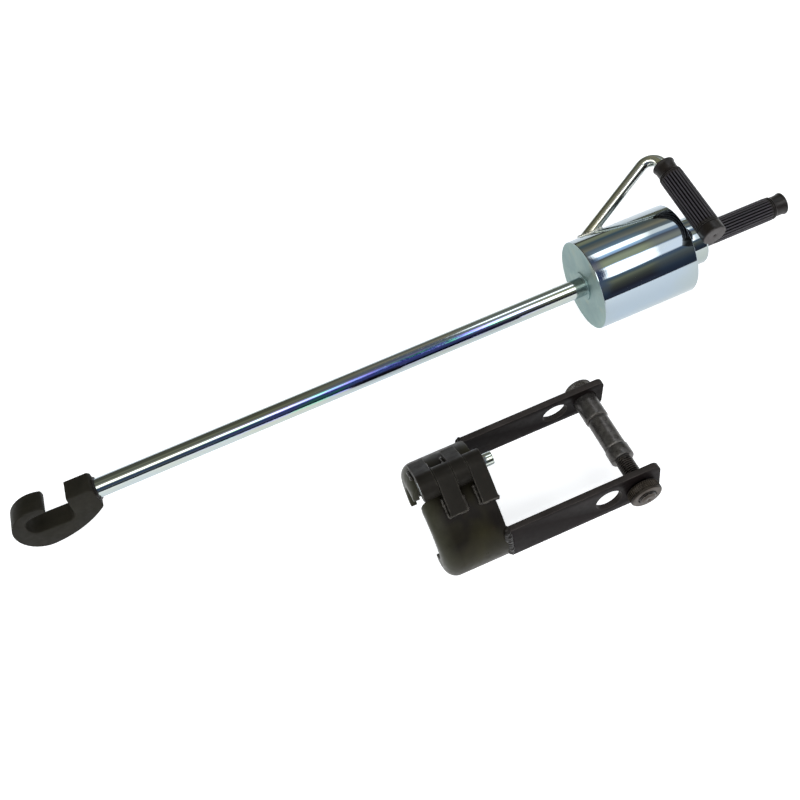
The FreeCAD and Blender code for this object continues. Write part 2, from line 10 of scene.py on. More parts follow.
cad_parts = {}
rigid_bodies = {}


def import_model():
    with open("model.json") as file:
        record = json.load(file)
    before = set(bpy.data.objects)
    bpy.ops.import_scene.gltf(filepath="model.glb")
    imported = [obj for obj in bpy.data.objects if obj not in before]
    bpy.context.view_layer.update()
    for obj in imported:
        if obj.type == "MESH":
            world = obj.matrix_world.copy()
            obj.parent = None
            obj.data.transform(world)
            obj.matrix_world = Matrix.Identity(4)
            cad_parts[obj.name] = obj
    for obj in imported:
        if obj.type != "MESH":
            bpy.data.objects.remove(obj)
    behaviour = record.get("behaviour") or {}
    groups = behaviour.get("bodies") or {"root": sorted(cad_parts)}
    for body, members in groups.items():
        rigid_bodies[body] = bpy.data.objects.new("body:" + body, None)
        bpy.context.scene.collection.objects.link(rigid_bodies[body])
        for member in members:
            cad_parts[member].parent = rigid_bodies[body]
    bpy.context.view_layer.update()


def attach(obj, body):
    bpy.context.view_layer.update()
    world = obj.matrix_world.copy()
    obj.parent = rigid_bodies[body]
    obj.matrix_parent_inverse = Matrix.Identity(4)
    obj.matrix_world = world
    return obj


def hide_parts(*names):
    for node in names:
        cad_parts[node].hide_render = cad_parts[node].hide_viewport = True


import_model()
rnd = random.Random(7)
scene = bpy.context.scene
MM = 0.001

# ------------------------------------------------------------------ shared sizes (mm, degrees)
ROD_R = 10.0
HOOK_END_X = 33.5               # where the hook stops along the rod
COLLAR_END = 691.3
GRIP_LEN = 98.0

CLAM_Y, CLAM_Z = -174.8, -0.5   # clamshell axis
HINGE_RISE = 61.5               # hinge axis above the clamshell axis
HALF_OPENING = 4.5              # swing of each half from closed
SHELL_R = 50.5
SHELL_END = 368.4               # open end of the shells, where the arms start
ARM_Y = 46.5                    # middle of each arm's thickness
ARM_PIN_AT = 126.0              # pin hole along the arm
PIN_X = SHELL_END + ARM_PIN_AT
PIN_Z = (HINGE_RISE - HINGE_RISE * math.cos(math.radians(HALF_OPENING))
         + ARM_Y * math.sin(math.radians(HALF_OPENING)))


# ------------------------------------------------------------------ frames
def move(x, y, z):
    return Matrix.Translation((x, y, z))


def turn_x(degrees):
    return Matrix.Rotation(math.radians(degrees), 4, 'X')


def axes(x_dir, y_dir, z_dir, origin):
    m = Matrix.Identity(4)
    for i in range(3):
        m[i][0], m[i][1], m[i][2], m[i][3] = x_dir[i], y_dir[i], z_dir[i], origin[i]
    return m


def upright(origin):
    """Flat outline stood in the xz plane, its thickness along y."""
    return axes((1, 0, 0), (0, 0, 1), (0, -1, 0), origin)


def swing(degrees):
    return CLAM @ move(0, 0, HINGE_RISE) @ turn_x(degrees) @ move(0, 0, -HINGE_RISE)


IDENTITY = Matrix.Identity(4)
CLAM = move(0, CLAM_Y, CLAM_Z)
FAR, NEAR = swing(HALF_OPENING), swing(-HALF_OPENING)


# ------------------------------------------------------------------ outlines
def spread(start, end, n):
    """n + 1 even values from start to end."""
    return [start + (end - start) * k / n for k in range(n + 1)]


def line(x0, x1, r, n):
    """n profile points at radius r, after x0 and up to x1."""
    return [(x, r) for x in spread(x0, x1, n)[1:]]


def arc(cx, cy, r, a0, a1, step):
    n = max(2, int(abs(a1 - a0) / step))
    return [(cx + r * math.cos(math.radians(a)), cy + r * math.sin(math.radians(a)))
            for a in spread(a0, a1, n)]


def circle(cx, cy, r, step):
    return arc(cx, cy, r, 0, 360, step)[:-1]


def three_arc(a, m, b, step):
    """Arc from a through m to b."""
    (ax, ay), (bx, by), (cx, cy) = a, m, b
    d = 2 * (ax * (by - cy) + bx * (cy - ay) + cx * (ay - by))
    sa, sb, sc = ax**2 + ay**2, bx**2 + by**2, cx**2 + cy**2
    ux = (sa * (by - cy) + sb * (cy - ay) + sc * (ay - by)) / d
    uy = (sa * (cx - bx) + sb * (ax - cx) + sc * (bx - ax)) / d
    start, middle, end = [math.degrees(math.atan2(y - uy, x - ux)) % 360 for x, y in (a, m, b)]
    span = (end - start) % 360
    if (middle - start) % 360 > span:
        span -= 360
    return arc(ux, uy, math.hypot(ax - ux, ay - uy), start, start + span, step)


def fillet(profile, radii, steps):
    """Round the corners of an open profile: radii = {index: radius}."""
    out = []
    for i, p in enumerate(profile):
        radius = radii.get(i)
        if not radius:
            out.append(p)
            continue
        corner = Vector(p)
        u = (Vector(profile[i - 1]) - corner).normalized()
        w = (Vector(profile[i + 1]) - corner).normalized()
        angle = u.angle(w)
        cut = radius / math.tan(angle / 2)
        r = cut * math.tan(angle / 2)
        centre = corner + (u + w).normalized() * (r / math.sin(angle / 2))
        v0 = corner + u * cut - centre
        v1 = corner + w * cut - centre
        turn = v0.angle(v1)
        for k in range(steps + 1):
            f = k / steps
            q = centre + (v0 * math.sin((1 - f) * turn) + v1 * math.sin(f * turn)) / math.sin(turn)
            out.append((q.x, q.y))
    return out


def densify(profile, step):
    out = [profile[0]]
    for (ax, ay), (bx, by) in zip(profile, profile[1:]):
        n = max(1, int(math.hypot(bx - ax, by - ay) / step))
        out += list(zip(spread(ax, bx, n), spread(ay, by, n)))[1:]
    return out


def clean_loop(points, gap=0.02):
    """Drop points that repeat the one before, also across the closing joint."""
    out = []
    for p in points:
        if not out or math.dist(p, out[-1]) > gap:
            out.append(p)
    if math.dist(out[0], out[-1]) < gap:
        out.pop()
    return out


# ------------------------------------------------------------------ meshes
def smooth_shade(me, sharp):
    for p in me.polygons:
        p.use_smooth = True
    me.set_sharp_from_angle(angle=math.radians(sharp))


def add_object(name, data):
    ob = bpy.data.objects.new(name, data)
    scene.collection.objects.link(ob)
    return ob


def add_piece(name, me, body, materials, node, sharp=38.0):
    """Object that rides on `body` and replaces the CAD piece `node`."""
    me.name = name
    for m in materials:
        me.materials.append(m)
    ob = add_object(name, me)
    smooth_shade(me, sharp)
    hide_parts(node)
    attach(ob, body)
    return ob


def evaluated_mesh(ob):
    bpy.context.view_layer.update()
    deps = bpy.context.evaluated_depsgraph_get()
    return bpy.data.meshes.new_from_object(ob.evaluated_get(deps))


def bake_modifiers(ob):
    me = evaluated_mesh(ob)
    ob.modifiers.clear()
    ob.data = me
    return me


def mesh_from(bm):
    me = bpy.data.meshes.new("mesh")
    bm.to_mesh(me)
    bm.free()
    return me


def lathe(profile, seg, matrix, radial=None, closed=False, span=None, material_at=None):
    """Turn (x, r) points about local x, from +y towards +z.

    closed joins the last point to the first (hollow section). radial(x, r, angle) gives the final
    radius. span = (start, end) degrees for a part turn. material_at(i) is the slot of strip i."""
    bm = bmesh.new()
    a0, a1 = span or (0.0, 360.0)
    n = seg + 1 if span else seg
    rings = []
    for x, r in profile:
        if r < 1e-6:
            rings.append([bm.verts.new(matrix @ Vector((x, 0, 0)) * MM)])
            continue
        ring = []
        for j in range(n):
            th = math.radians(a0 + (a1 - a0) * j / seg)
            rr = radial(x, r, th) if radial else r
            point = Vector((x, rr * math.cos(th), rr * math.sin(th)))
            ring.append(bm.verts.new(matrix @ point * MM))
        rings.append(ring)
    pairs = list(zip(rings, rings[1:]))
    if closed:
        pairs.append((rings[-1], rings[0]))
    for i, (A, B) in enumerate(pairs):
        for j in range(seg):
            k = j + 1 if span else (j + 1) % n
            if len(A) == 1:
                f = bm.faces.new((A[0], B[k], B[j]))
            elif len(B) == 1:
                f = bm.faces.new((A[j], A[k], B[0]))
            else:
                f = bm.faces.new((A[j], A[k], B[k], B[j]))
            f.material_index = material_at(i) if material_at else 0
    if span:
        for j in (0, n - 1):
            bm.faces.new([ring[j] for ring in rings])
    bmesh.ops.recalc_face_normals(bm, faces=bm.faces)
    return mesh_from(bm)


def plate(loops, thick, bevel, matrix, res=2, rim=False):
    """Flat piece with rounded edges: outline loops (outer, then holes) in local xy, thickness
    centred on local z. rim puts its edges in material slot 1."""
    cu = bpy.data.curves.new("outline", 'CURVE')
    cu.dimensions = '2D'
    cu.fill_mode = 'BOTH'
    cu.extrude = thick / 2 - bevel
    cu.bevel_depth = bevel
    cu.bevel_resolution = res
    cu.offset = -bevel
    for loop in loops:
        sp = cu.splines.new('POLY')
        sp.points.add(len(loop) - 1)
        for i, (x, y) in enumerate(loop):
            sp.points[i].co = (x, y, 0, 1)
        sp.use_cyclic_u = True
    ob = add_object("outline", cu)
    me = evaluated_mesh(ob)
    bpy.data.objects.remove(ob)
    bm = bmesh.new()
    bm.from_mesh(me)
    bmesh.ops.remove_doubles(bm, verts=bm.verts, dist=0.002)
    bmesh.ops.dissolve_limit(bm, angle_limit=0.002, verts=bm.verts, edges=bm.edges)
    bm.normal_update()
    for f in bm.faces:
        f.material_index = 1 if (rim and abs(f.normal.z) < 0.9) else 0
    bmesh.ops.transform(bm, matrix=Matrix.Scale(MM, 4) @ matrix, verts=bm.verts)
    bmesh.ops.recalc_face_normals(bm, faces=bm.faces)
    bm.to_mesh(me)
    bm.free()
    return me


def beads(paths, voxel, matrix=IDENTITY):
    """Weld beads: uneven pebbles along each path (points, radius, pitch), fused into one skin."""
    bm = bmesh.new()
    for points, radius, pitch in paths:
        P = [Vector(p) for p in points]
        segments = list(zip(P, P[1:]))
        total = sum((b - a).length for a, b in segments)
        n = max(2, int(total / pitch))
        for k in range(n + 1):
            left = total * k / n
            for a, b in segments:
                length = (b - a).length
                if left <= length or (a, b) == segments[-1]:
                    q = a + (b - a) * (left / length)
                    break
                left -= length
            r = radius * rnd.uniform(0.86, 1.14)
            jitter = Vector((rnd.uniform(-1, 1), rnd.uniform(-1, 1), rnd.uniform(-1, 1)))
            q = q + jitter * radius * 0.10
            place = Matrix.Translation(q) @ Matrix.Diagonal((r, r, r, 1))
            bmesh.ops.create_icosphere(bm, subdivisions=2, radius=1.0, matrix=place)
    ob = add_object("beads", mesh_from(bm))
    remesh = ob.modifiers.new("remesh", 'REMESH')
    remesh.mode = 'VOXEL'
    remesh.voxel_size = voxel
    smooth = ob.modifiers.new("smooth", 'SMOOTH')
    smooth.iterations = 2
    smooth.factor = 0.5
    me = bake_modifiers(ob)
    bpy.data.objects.remove(ob)
    me.transform(Matrix.Scale(MM, 4) @ matrix)
    return me


def ring_bead(x, ring_r, radius, pitch):
    """Weld bead in a circle round the rod."""
    angles = [math.tau * k / 40 for k in range(41)]
    ring = [(x, ring_r * math.cos(a), ring_r * math.sin(a)) for a in angles]
    return beads([(ring, radius, pitch)], voxel=0.35)


def tube(path, r, seg):
    """Round bar along a list of points, capped at both ends."""
    bm = bmesh.new()
    n = len(path)
    rings = []
    up = None
    for i, p in enumerate(path):
        d = (path[min(i + 1, n - 1)] - path[max(i - 1, 0)]).normalized()
        if up is None:
            up = d.orthogonal().normalized()
        else:
            up = (up - d * up.dot(d)).normalized()
        w = d.cross(up)
        angles = [math.tau * j / seg for j in range(seg)]
        rings.append([bm.verts.new((p + up * r * math.cos(a) + w * r * math.sin(a)) * MM)
                      for a in angles])
    for A, B in zip(rings, rings[1:]):
        for j in range(seg):
            k = (j + 1) % seg
            bm.faces.new((A[j], A[k], B[k], B[j]))
    bm.faces.new(rings[0][::-1])
    bm.faces.new(rings[-1])
    bmesh.ops.recalc_face_normals(bm, faces=bm.faces)
    return mesh_from(bm)


# ------------------------------------------------------------------ node helper
class Nodes:
    """Short calls for building the node tree of a material or world."""
    def __init__(self, owner):
        owner.use_nodes = True
        self.owner = owner
        self.tree = owner.node_tree

    def new(self, kind):
        return self.tree.nodes.new(kind)

    def feed(self, value, socket):
        """Link a socket, or set a number or an RGB colour."""
        if isinstance(value, tuple):
            socket.default_value = (*value, 1)
        elif isinstance(value, (int, float)):
            socket.default_value = value
        else:
            self.tree.links.new(value, socket)

    def point(self, kind="Object"):
        return self.new("ShaderNodeTexCoord").outputs[kind]

    def coords(self, scale=(1, 1, 1)):
        point = self.point()
        n = self.new("ShaderNodeMapping")
        n.inputs["Scale"].default_value = scale
        self.feed(point, n.inputs["Vector"])
        return n.outputs["Vector"]

    def xyz(self, vector):
        n = self.new("ShaderNodeSeparateXYZ")
        self.feed(vector, n.inputs[0])
        return n.outputs

    def noise(self, vector, scale, detail, rough=0.5, distortion=0.0):
        n = self.new("ShaderNodeTexNoise")
        n.inputs["Scale"].default_value = scale
        n.inputs["Detail"].default_value = detail
        n.inputs["Roughness"].default_value = rough
        n.inputs["Distortion"].default_value = distortion
        self.feed(vector, n.inputs["Vector"])
        return n.outputs["Fac"]

    def ramp(self, fac, stops, period=1.0):
        """stops: (place within period, RGB or grey)."""
        n = self.new("ShaderNodeValToRGB")
        elements = n.color_ramp.elements
        while len(elements) < len(stops):
            elements.new(0.5)
        for i, (place, c) in enumerate(stops):
            elements[i].position = place / period
            elements[i].color = (*c, 1) if isinstance(c, tuple) else (c, c, c, 1)
        self.feed(fac, n.inputs["Fac"])
        return n.outputs["Color"]

    def mask(self, fac, span):
        """Black below the span, white above it."""
        return self.ramp(fac, [(span[0], 0), (span[1], 1)])

    def mix(self, fac, a, b):
        n = self.new("ShaderNodeMix")
        n.data_type = 'RGBA'
        for value, i in ((fac, 0), (a, 6), (b, 7)):
            self.feed(value, n.inputs[i])
        return n.outputs[2]

    def math(self, operation, a, b=0.0, c=0.0):
        n = self.new("ShaderNodeMath")
        n.operation = operation
        for i, value in enumerate((a, b, c)):
            self.feed(value, n.inputs[i])
        return n.outputs[0]

    def times(self, a, b):
        return self.math('MULTIPLY', a, b)

    def add(self, a, b):
        return self.math('ADD', a, b)

    def remap(self, value, span, to=(0.0, 1.0)):
        n = self.new("ShaderNodeMapRange")
        n.inputs["From Min"].default_value, n.inputs["From Max"].default_value = span
        n.inputs["To Min"].default_value, n.inputs["To Max"].default_value = to
        self.feed(value, n.inputs["Value"])
        return n.outputs["Result"]

    def bump(self, height, strength, dist, prev=None):
        n = self.new("ShaderNodeBump")
        n.inputs["Strength"].default_value = strength
        n.inputs["Distance"].default_value = dist
        self.feed(height, n.inputs["Height"])
        if prev is not None:
            self.feed(prev, n.inputs["Normal"])
        return n.outputs["Normal"]

    def edge_line(self, radius):
        """White along edges, from how far a bevelled normal leans off the true one."""
        bevel = self.new("ShaderNodeBevel")
        bevel.samples = 6
        bevel.inputs["Radius"].default_value = radius
        true = self.new("ShaderNodeNewGeometry")
        n = self.new("ShaderNodeVectorMath")
        n.operation = 'DOT_PRODUCT'
        self.feed(bevel.outputs["Normal"], n.inputs[0])
        self.feed(true.outputs["Normal"], n.inputs[1])
        return self.remap(n.outputs["Value"], (0.985, 0.86))

    def attribute(self, name):
        n = self.new("ShaderNodeAttribute")
        n.attribute_name = name
        return n.outputs["Fac"]

    def facing(self):
        n = self.new("ShaderNodeLayerWeight")
        n.inputs["Blend"].default_value = 0.35
        return n.outputs["Facing"]

    def surface(self, **values):
        """Principled inputs by name, with underscores for spaces."""
        inputs = self.tree.nodes["Principled BSDF"].inputs
        for key, value in values.items():
            self.feed(value, inputs[key.replace("_", " ")])


# ------------------------------------------------------------------ materials
# (x, y) along the bar in m between which the painted sheen of the passivation layer fades in, then
# out
FILM_SHEEN_IN, FILM_SHEEN_OUT = (0.10, 0.27), (0.53, 0.44)
# y and z of the direction of the side that gets the painted sheen, divided by the rod's radius in
# m
FILM_SHEEN_Y, FILM_SHEEN_Z = -69.5, 71.9


def painted_film_sheen(n, col):
    """Painted sheen: blue, violet and green colours of the passivation layer painted into the base
    colour along the middle of the bar, only on the side turned up towards the camera.
    """
    at = n.xyz(n.point())
    side = n.add(n.times(at["Y"], FILM_SHEEN_Y), n.times(at["Z"], FILM_SHEEN_Z))
    where = n.times(n.remap(side, (0.875, 0.955)),
                    n.times(n.remap(at["X"], FILM_SHEEN_IN), n.remap(at["X"], FILM_SHEEN_OUT)))
    streak = n.noise(n.coords((70, 900, 900)), scale=1.0, detail=2.0, rough=0.55)
    drift = n.noise(n.coords((24, 260, 260)), scale=1.0, detail=2.0)
    blue, violet, green = (0.11, 0.19, 0.86), (0.30, 0.26, 0.80), (0.10, 0.60, 0.40)
    tint = n.mix(n.mask(streak, (0.40, 0.62)), blue, violet)
    tint = n.mix(n.mask(drift, (0.50, 0.63)), tint, green)
    return n.mix(n.times(where, n.remap(streak, (0.3, 0.6), to=(0.62, 0.95))), col, tint)


def zinc(name, rough, line_scale, line_rough, blotch, line_bump, bright=(0.50, 0.56, 0.59),
         grazing_reflection_tint=(0.40, 0.51, 0.60), warm=(0.51, 0.53, 0.43), film_sheen=False):
    """Bright zinc: warm blotches, a painted bluish reflection tint where the surface turns away
    from the camera, fine machining lines.
    """
    n = Nodes(bpy.data.materials.new(name))
    base = n.coords()
    big = n.noise(base, scale=blotch, detail=3.0, rough=0.55)
    fine = n.noise(base, scale=260.0, detail=3.0, rough=0.6)
    col = n.mix(n.mask(big, (0.35, 0.68)), bright, warm)
    # painted reflection: bluish tint blended in where the surface turns away from the camera
    col = n.mix(n.times(n.facing(), 0.75), col, grazing_reflection_tint)
    spots = n.mask(n.noise(base, scale=420.0, detail=2.0, rough=0.7), (0.66, 0.74))
    col = n.mix(n.times(spots, 0.22), col, (0.42, 0.44, 0.44))
    # painted sheen of the passivation layer, on one side of the bar only
    if film_sheen:
        col = painted_film_sheen(n, col)
    lines = n.noise(n.coords(line_scale), scale=1.0, detail=2.0, rough=0.6)
    wide_scale = (line_scale[0] * 0.18, line_scale[1], line_scale[2])
    wide = n.noise(n.coords(wide_scale), scale=1.0, detail=2.0)
    roughness = n.add(n.remap(fine, (0.3, 0.7), to=(rough * 0.65, rough * 1.5)),
                      n.remap(wide, (0.35, 0.65), to=(-line_rough * 0.35, line_rough * 0.6)))
    normal = n.bump(lines, strength=0.35, dist=line_bump)
    normal = n.bump(wide, strength=0.25, dist=line_bump * 3.0, prev=normal)
    n.surface(Base_Color=col, Metallic=1.0, Roughness=roughness, Normal=normal)
    return n.owner


def zinc_face(name, tone):
    """Turned end face: duller, greenish-grey with soft blotches and faint concentric lines."""
    n = Nodes(bpy.data.materials.new(name))
    base = n.coords()
    at = n.xyz(n.point())
    r = n.math('SQRT', n.add(n.times(at["Y"], at["Y"]), n.times(at["Z"], at["Z"])))
    rings = n.math('SINE', n.times(r, 9000.0))
    blot = n.noise(base, scale=34.0, detail=5.0, rough=0.62, distortion=0.4)
    shades = [(0.28, (0.21, 0.32, 0.32)), (0.5, (0.31, 0.43, 0.42)), (0.72, (0.44, 0.55, 0.51))]
    col = n.ramp(blot, [(place, tuple(c * tone for c in rgb)) for place, rgb in shades])
    warm = n.mask(n.noise(base, scale=60.0, detail=3.0), (0.6, 0.78))
    col = n.mix(n.times(warm, 0.35), col, (0.42, 0.40, 0.26))
    roughness = n.remap(blot, (0.3, 0.7), to=(0.42, 0.58))
    normal = n.bump(rings, strength=0.12, dist=0.00002)
    grain = n.noise(base, scale=900.0, detail=2.0, rough=0.6)
    normal = n.bump(grain, strength=0.25, dist=0.00002, prev=normal)
    n.surface(Base_Color=col, Metallic=0.85, Roughness=roughness, Normal=normal)
    return n.owner


def black_steel(name, base, high, rough, edge_wear_and_highlight, edge, metallic=0.25, spec=0.5, grain=0.00003,
                speck=0.16, rust=0.30, edge_r=0.0012, mottle=28.0, olive=0.0, ground=False,
                end_highlight=None):
    """Blackened steel mottled from base to high, lightened to `edge` within edge_r metres of
    edges: worn edges with a painted highlight along them.

    speck, rust and olive are amounts, mottle a noise scale. ground adds lengthwise grinding.
    lip = ((x plain, x tinted) in metres, colour): a painted highlight, tinted greener, on the
    rounded end of the shell."""
    n = Nodes(bpy.data.materials.new(name))
    at = n.coords()
    big = n.noise(at, scale=mottle, detail=5.0, rough=0.6, distortion=0.3)
    mid = n.noise(at, scale=140.0, detail=4.0, rough=0.65)
    fine = n.noise(at, scale=1400.0, detail=2.0, rough=0.6)
    col = n.mix(n.mask(big, (0.32, 0.7)), base, high)
    if olive:
        patches = n.mask(n.noise(at, scale=16.0, detail=3.0, distortion=0.6), (0.42, 0.7))
        col = n.mix(n.times(patches, olive), col, (0.0235, 0.0215, 0.0105))
    if end_highlight:
        # painted highlight on the rounded end: paler and greener where the shell turns in
        end_highlight_span, end_highlight_colour = end_highlight
        amount = n.remap(n.xyz(n.point())["X"], end_highlight_span)
        amount = n.times(amount, n.remap(mid, (0.3, 0.7), to=(0.75, 1.0)))
        col = n.mix(amount, col, end_highlight_colour)
    rusty = n.mask(n.noise(at, scale=75.0, detail=4.0, rough=0.7), (0.60, 0.78))
    col = n.mix(n.times(rusty, rust), col, (0.030, 0.0185, 0.014))
    edges = n.edge_line(edge_r)
    patch = n.ramp(mid, [(0.36, 0.30), (0.66, 1)])
    # edges lightened: real wear together with a painted highlight along them
    col = n.mix(n.times(n.times(edges, patch), edge_wear_and_highlight), col, edge)
    specks = n.mask(n.noise(at, scale=520.0, detail=2.0, rough=0.7), (0.70, 0.76))
    col = n.mix(n.times(specks, speck), col, (0.075, 0.070, 0.068))
    roughness = n.add(n.remap(mid, (0.3, 0.7), to=(rough - 0.08, rough + 0.10)),
                      n.remap(big, (0.3, 0.7), to=(-0.05, 0.06)))
    normal = n.bump(fine, strength=0.5, dist=grain)
    normal = n.bump(mid, strength=0.25, dist=grain * 3, prev=normal)
    if ground:
        scratches = n.noise(n.coords((60, 700, 700)), scale=1.0, detail=2.0)
        normal = n.bump(scratches, strength=0.7, dist=0.00008, prev=normal)
    n.surface(Base_Color=col, Metallic=metallic, Roughness=roughness,
              Specular_IOR_Level=spec, Normal=normal)
    return n.owner


def rubber(name):
    """Black, with painted shade between the ribs and in the grooves, greyer on their crests as a
    painted highlight, chalky end cap.
    """
    n = Nodes(bpy.data.materials.new(name))
    at = n.coords()
    big = n.noise(at, scale=40.0, detail=3.0)
    fine = n.noise(at, scale=2200.0, detail=2.0, rough=0.6)
    rib_crest_highlight, groove, cap = n.attribute("rib_crest_highlight"), n.attribute("groove"), n.attribute("cap")
    col = n.mix(n.mask(big, (0.35, 0.7)), (0.0052, 0.0037, 0.0031), (0.0092, 0.0064, 0.0053))
    # painted highlight on the crests of the ribs
    col = n.mix(rib_crest_highlight, col, (0.034, 0.031, 0.038))
    # painted shade in the valleys between the ribs and in the grooves
    col = n.mix(n.times(groove, 0.94), col, (0.0008, 0.0006, 0.0006))
    col = n.mix(cap, col, (0.066, 0.060, 0.059))
    dust = n.mask(n.noise(at, scale=300.0, detail=3.0, rough=0.7), (0.64, 0.78))
    col = n.mix(n.times(dust, 0.10), col, (0.06, 0.055, 0.05))
    roughness = n.add(n.remap(big, (0.3, 0.7), to=(0.34, 0.44)), n.times(cap, 0.2))
    roughness = n.add(roughness, n.times(groove, 0.3))
    spec = n.remap(groove, (0.0, 1.0), to=(0.42, 0.04))
    n.surface(Base_Color=col, Roughness=roughness, Metallic=0.0, Specular_IOR_Level=spec,
              Normal=n.bump(fine, strength=0.35, dist=0.00003))
    return n.owner


DRAWN = dict(rough=0.08, line_scale=(5, 420, 420), line_rough=0.04, blotch=7.0,
             line_bump=0.000006)
ROD_ZINC = zinc("zinc_bright_rod", film_sheen=True, **DRAWN)
HINGE_ZINC = zinc("zinc_hinge_pin", **DRAWN)
TURNED_SIDE = zinc(
    "zinc_turned_side", rough=0.040, line_scale=(2600, 3, 3), line_rough=0.02, blotch=8.0,
    line_bump=0.000008, bright=(0.41, 0.48, 0.54), grazing_reflection_tint=(0.31, 0.42, 0.53),
    warm=(0.44, 0.46, 0.36))
TURNED_FACE = zinc_face("zinc_turned_face", tone=0.84)
BAR_ZINC = zinc(
    "zinc_bent_bar", rough=0.12, line_scale=(160, 160, 160), line_rough=0.06, blotch=26.0,
    line_bump=0.00001, bright=(0.68, 0.71, 0.68), warm=(0.66, 0.63, 0.48))
WELD_ZINC = zinc(
    "zinc_weld", rough=0.24, line_scale=(300, 300, 300), line_rough=0.08, blotch=60.0,
    line_bump=0.00001, bright=(0.62, 0.66, 0.65), warm=(0.60, 0.55, 0.42))
BUSH_FACE = zinc_face("zinc_bush_face", tone=0.86)
HOOK_BLACK = black_steel(
    "forged_hook", base=(0.0080, 0.0072, 0.0046), high=(0.0165, 0.0148, 0.0098),
    edge=(0.050, 0.046, 0.034), rough=0.60, edge_wear_and_highlight=0.55, metallic=0.1, grain=0.00007, spec=0.22,
    speck=0.10, rust=0.25, edge_r=0.0016)
SHELL_BLACK = black_steel(
    "blackened_shell", base=(0.0060, 0.0050, 0.0044), high=(0.0115, 0.0098, 0.0084),
    edge=(0.075, 0.068, 0.060), rough=0.38, edge_wear_and_highlight=0.45, olive=0.95, spec=0.085, metallic=0.12,
    end_highlight=((0.324, 0.309), (0.040, 0.040, 0.027)))
STRAP_RIM = black_steel(
    "blackened_strap", base=(0.0108, 0.0097, 0.0080), high=(0.0160, 0.0144, 0.0120),
    edge=(0.16, 0.148, 0.126), rough=0.44, edge_wear_and_highlight=0.85, spec=0.09, metallic=0.12, ground=True,
    speck=0.10, edge_r=0.0017)
STRAP_SIDE = black_steel(
    "blackened_strap_side", base=(0.0080, 0.0070, 0.0060), high=(0.0150, 0.0135, 0.0112),
    edge=(0.150, 0.135, 0.115), rough=0.46, edge_wear_and_highlight=0.9, spec=0.09, metallic=0.12, speck=0.10,
    edge_r=0.0016)
# Shaded and lit copies of the arm material: the far arm's is painted darker as shade, the near
# arm's lighter as lit
FAR_ARM_PAINTED_DARKER = black_steel(
    "blackened_flat_bar", base=(0.0032, 0.0021, 0.0022), high=(0.0060, 0.0042, 0.0041),
    edge=(0.100, 0.084, 0.078), rough=0.40, edge_wear_and_highlight=0.85, spec=0.030, metallic=0.02, speck=0.10,
    edge_r=0.0015)
NEAR_ARM_PAINTED_LIGHTER = black_steel(
    "blackened_flat_bar_near", base=(0.0058, 0.0042, 0.0043), high=(0.0105, 0.0078, 0.0077),
    edge=(0.100, 0.084, 0.078), rough=0.40, edge_wear_and_highlight=0.85, spec=0.050, metallic=0.08, speck=0.10,
    edge_r=0.0015)
# Lighter copy of the arm material for the arms' edge faces: a painted highlight along the edges
ARM_RIM_PAINTED_HIGHLIGHT = black_steel(
    "blackened_flat_bar_rim", base=(0.017, 0.0143, 0.0132), high=(0.036, 0.0315, 0.0293),
    edge=(0.130, 0.112, 0.104), rough=0.44, edge_wear_and_highlight=0.8, spec=0.12, metallic=0.12, speck=0.12,
    edge_r=0.0013, mottle=40.0)
NUT_FACE = black_steel(
    "blackened_nut_face", base=(0.038, 0.030, 0.024), high=(0.085, 0.070, 0.058),
    edge=(0.20, 0.165, 0.14), rough=0.42, edge_wear_and_highlight=0.8, metallic=0.3, spec=0.3, rust=0.5,
    edge_r=0.0014, mottle=90.0)
PIN_BLACK = black_steel(
    "blackened_pin", base=(0.060, 0.056, 0.053), high=(0.128, 0.122, 0.117),
    edge=(0.34, 0.315, 0.28), rough=0.30, edge_wear_and_highlight=0.9, metallic=0.7, spec=0.3, rust=0.30,
    edge_r=0.0016, mottle=210.0)
THREAD_BLACK = black_steel(
    "blackened_thread", base=(0.0045, 0.0038, 0.0034), high=(0.012, 0.010, 0.009),
    edge=(0.22, 0.19, 0.165), rough=0.30, edge_wear_and_highlight=1.0, metallic=0.4, spec=0.30, edge_r=0.0007)
NUT_BLACK = black_steel(
    "blackened_nut", base=(0.0105, 0.0084, 0.0062), high=(0.034, 0.027, 0.0205),
    edge=(0.15, 0.125, 0.10), rough=0.38, edge_wear_and_highlight=0.9, metallic=0.5, spec=0.3, rust=0.4,
    edge_r=0.0012, mottle=70.0)
# Lighter copy of the seam material for the strap beads: its fine light mottling is painted glints
# on the pebbles
WELD_BLACK_PAINTED_GLINTS = black_steel(
    "blackened_weld", base=(0.0075, 0.0064, 0.0052), high=(0.060, 0.054, 0.046),
    edge=(0.12, 0.11, 0.095), rough=0.26, edge_wear_and_highlight=0.7, spec=0.45, edge_r=0.0012, mottle=220.0)
SEAM_BLACK = black_steel(
    "blackened_seam", base=(0.0050, 0.0042, 0.0036), high=(0.0125, 0.0105, 0.0090),
    edge=(0.05, 0.045, 0.04), rough=0.32, edge_wear_and_highlight=0.5, spec=0.28)
RUBBER = rubber("ribbed_rubber")


# ------------------------------------------------------------------ rod
def build_rod():
    profile = [(13.6, 0), (13.6, 7.4), (14.2, 8.0), (HOOK_END_X, 8.0), (HOOK_END_X, 9.99),
               (33.6, ROD_R)]
    profile += line(33.6, COLLAR_END, ROD_R, 60)
    profile += [(COLLAR_END, 9.0), (790.4, 9.0), (791.3, 8.1), (791.3, 0)]
    add_piece("rod", lathe(profile, 72, IDENTITY), "hammer_shaft", [ROD_ZINC], "slide_rod")


# ------------------------------------------------------------------ hook
HOOK_ROLL = -6.82
HOOK_THICK = 24.0
BEND_X, BEND_Z, BEND_R = -27.0, -10.0, 28.0     # outer bend of the hook
TIP_X = -14.7
TIP_Z = BEND_Z + math.sqrt(BEND_R ** 2 - (TIP_X - BEND_X) ** 2)


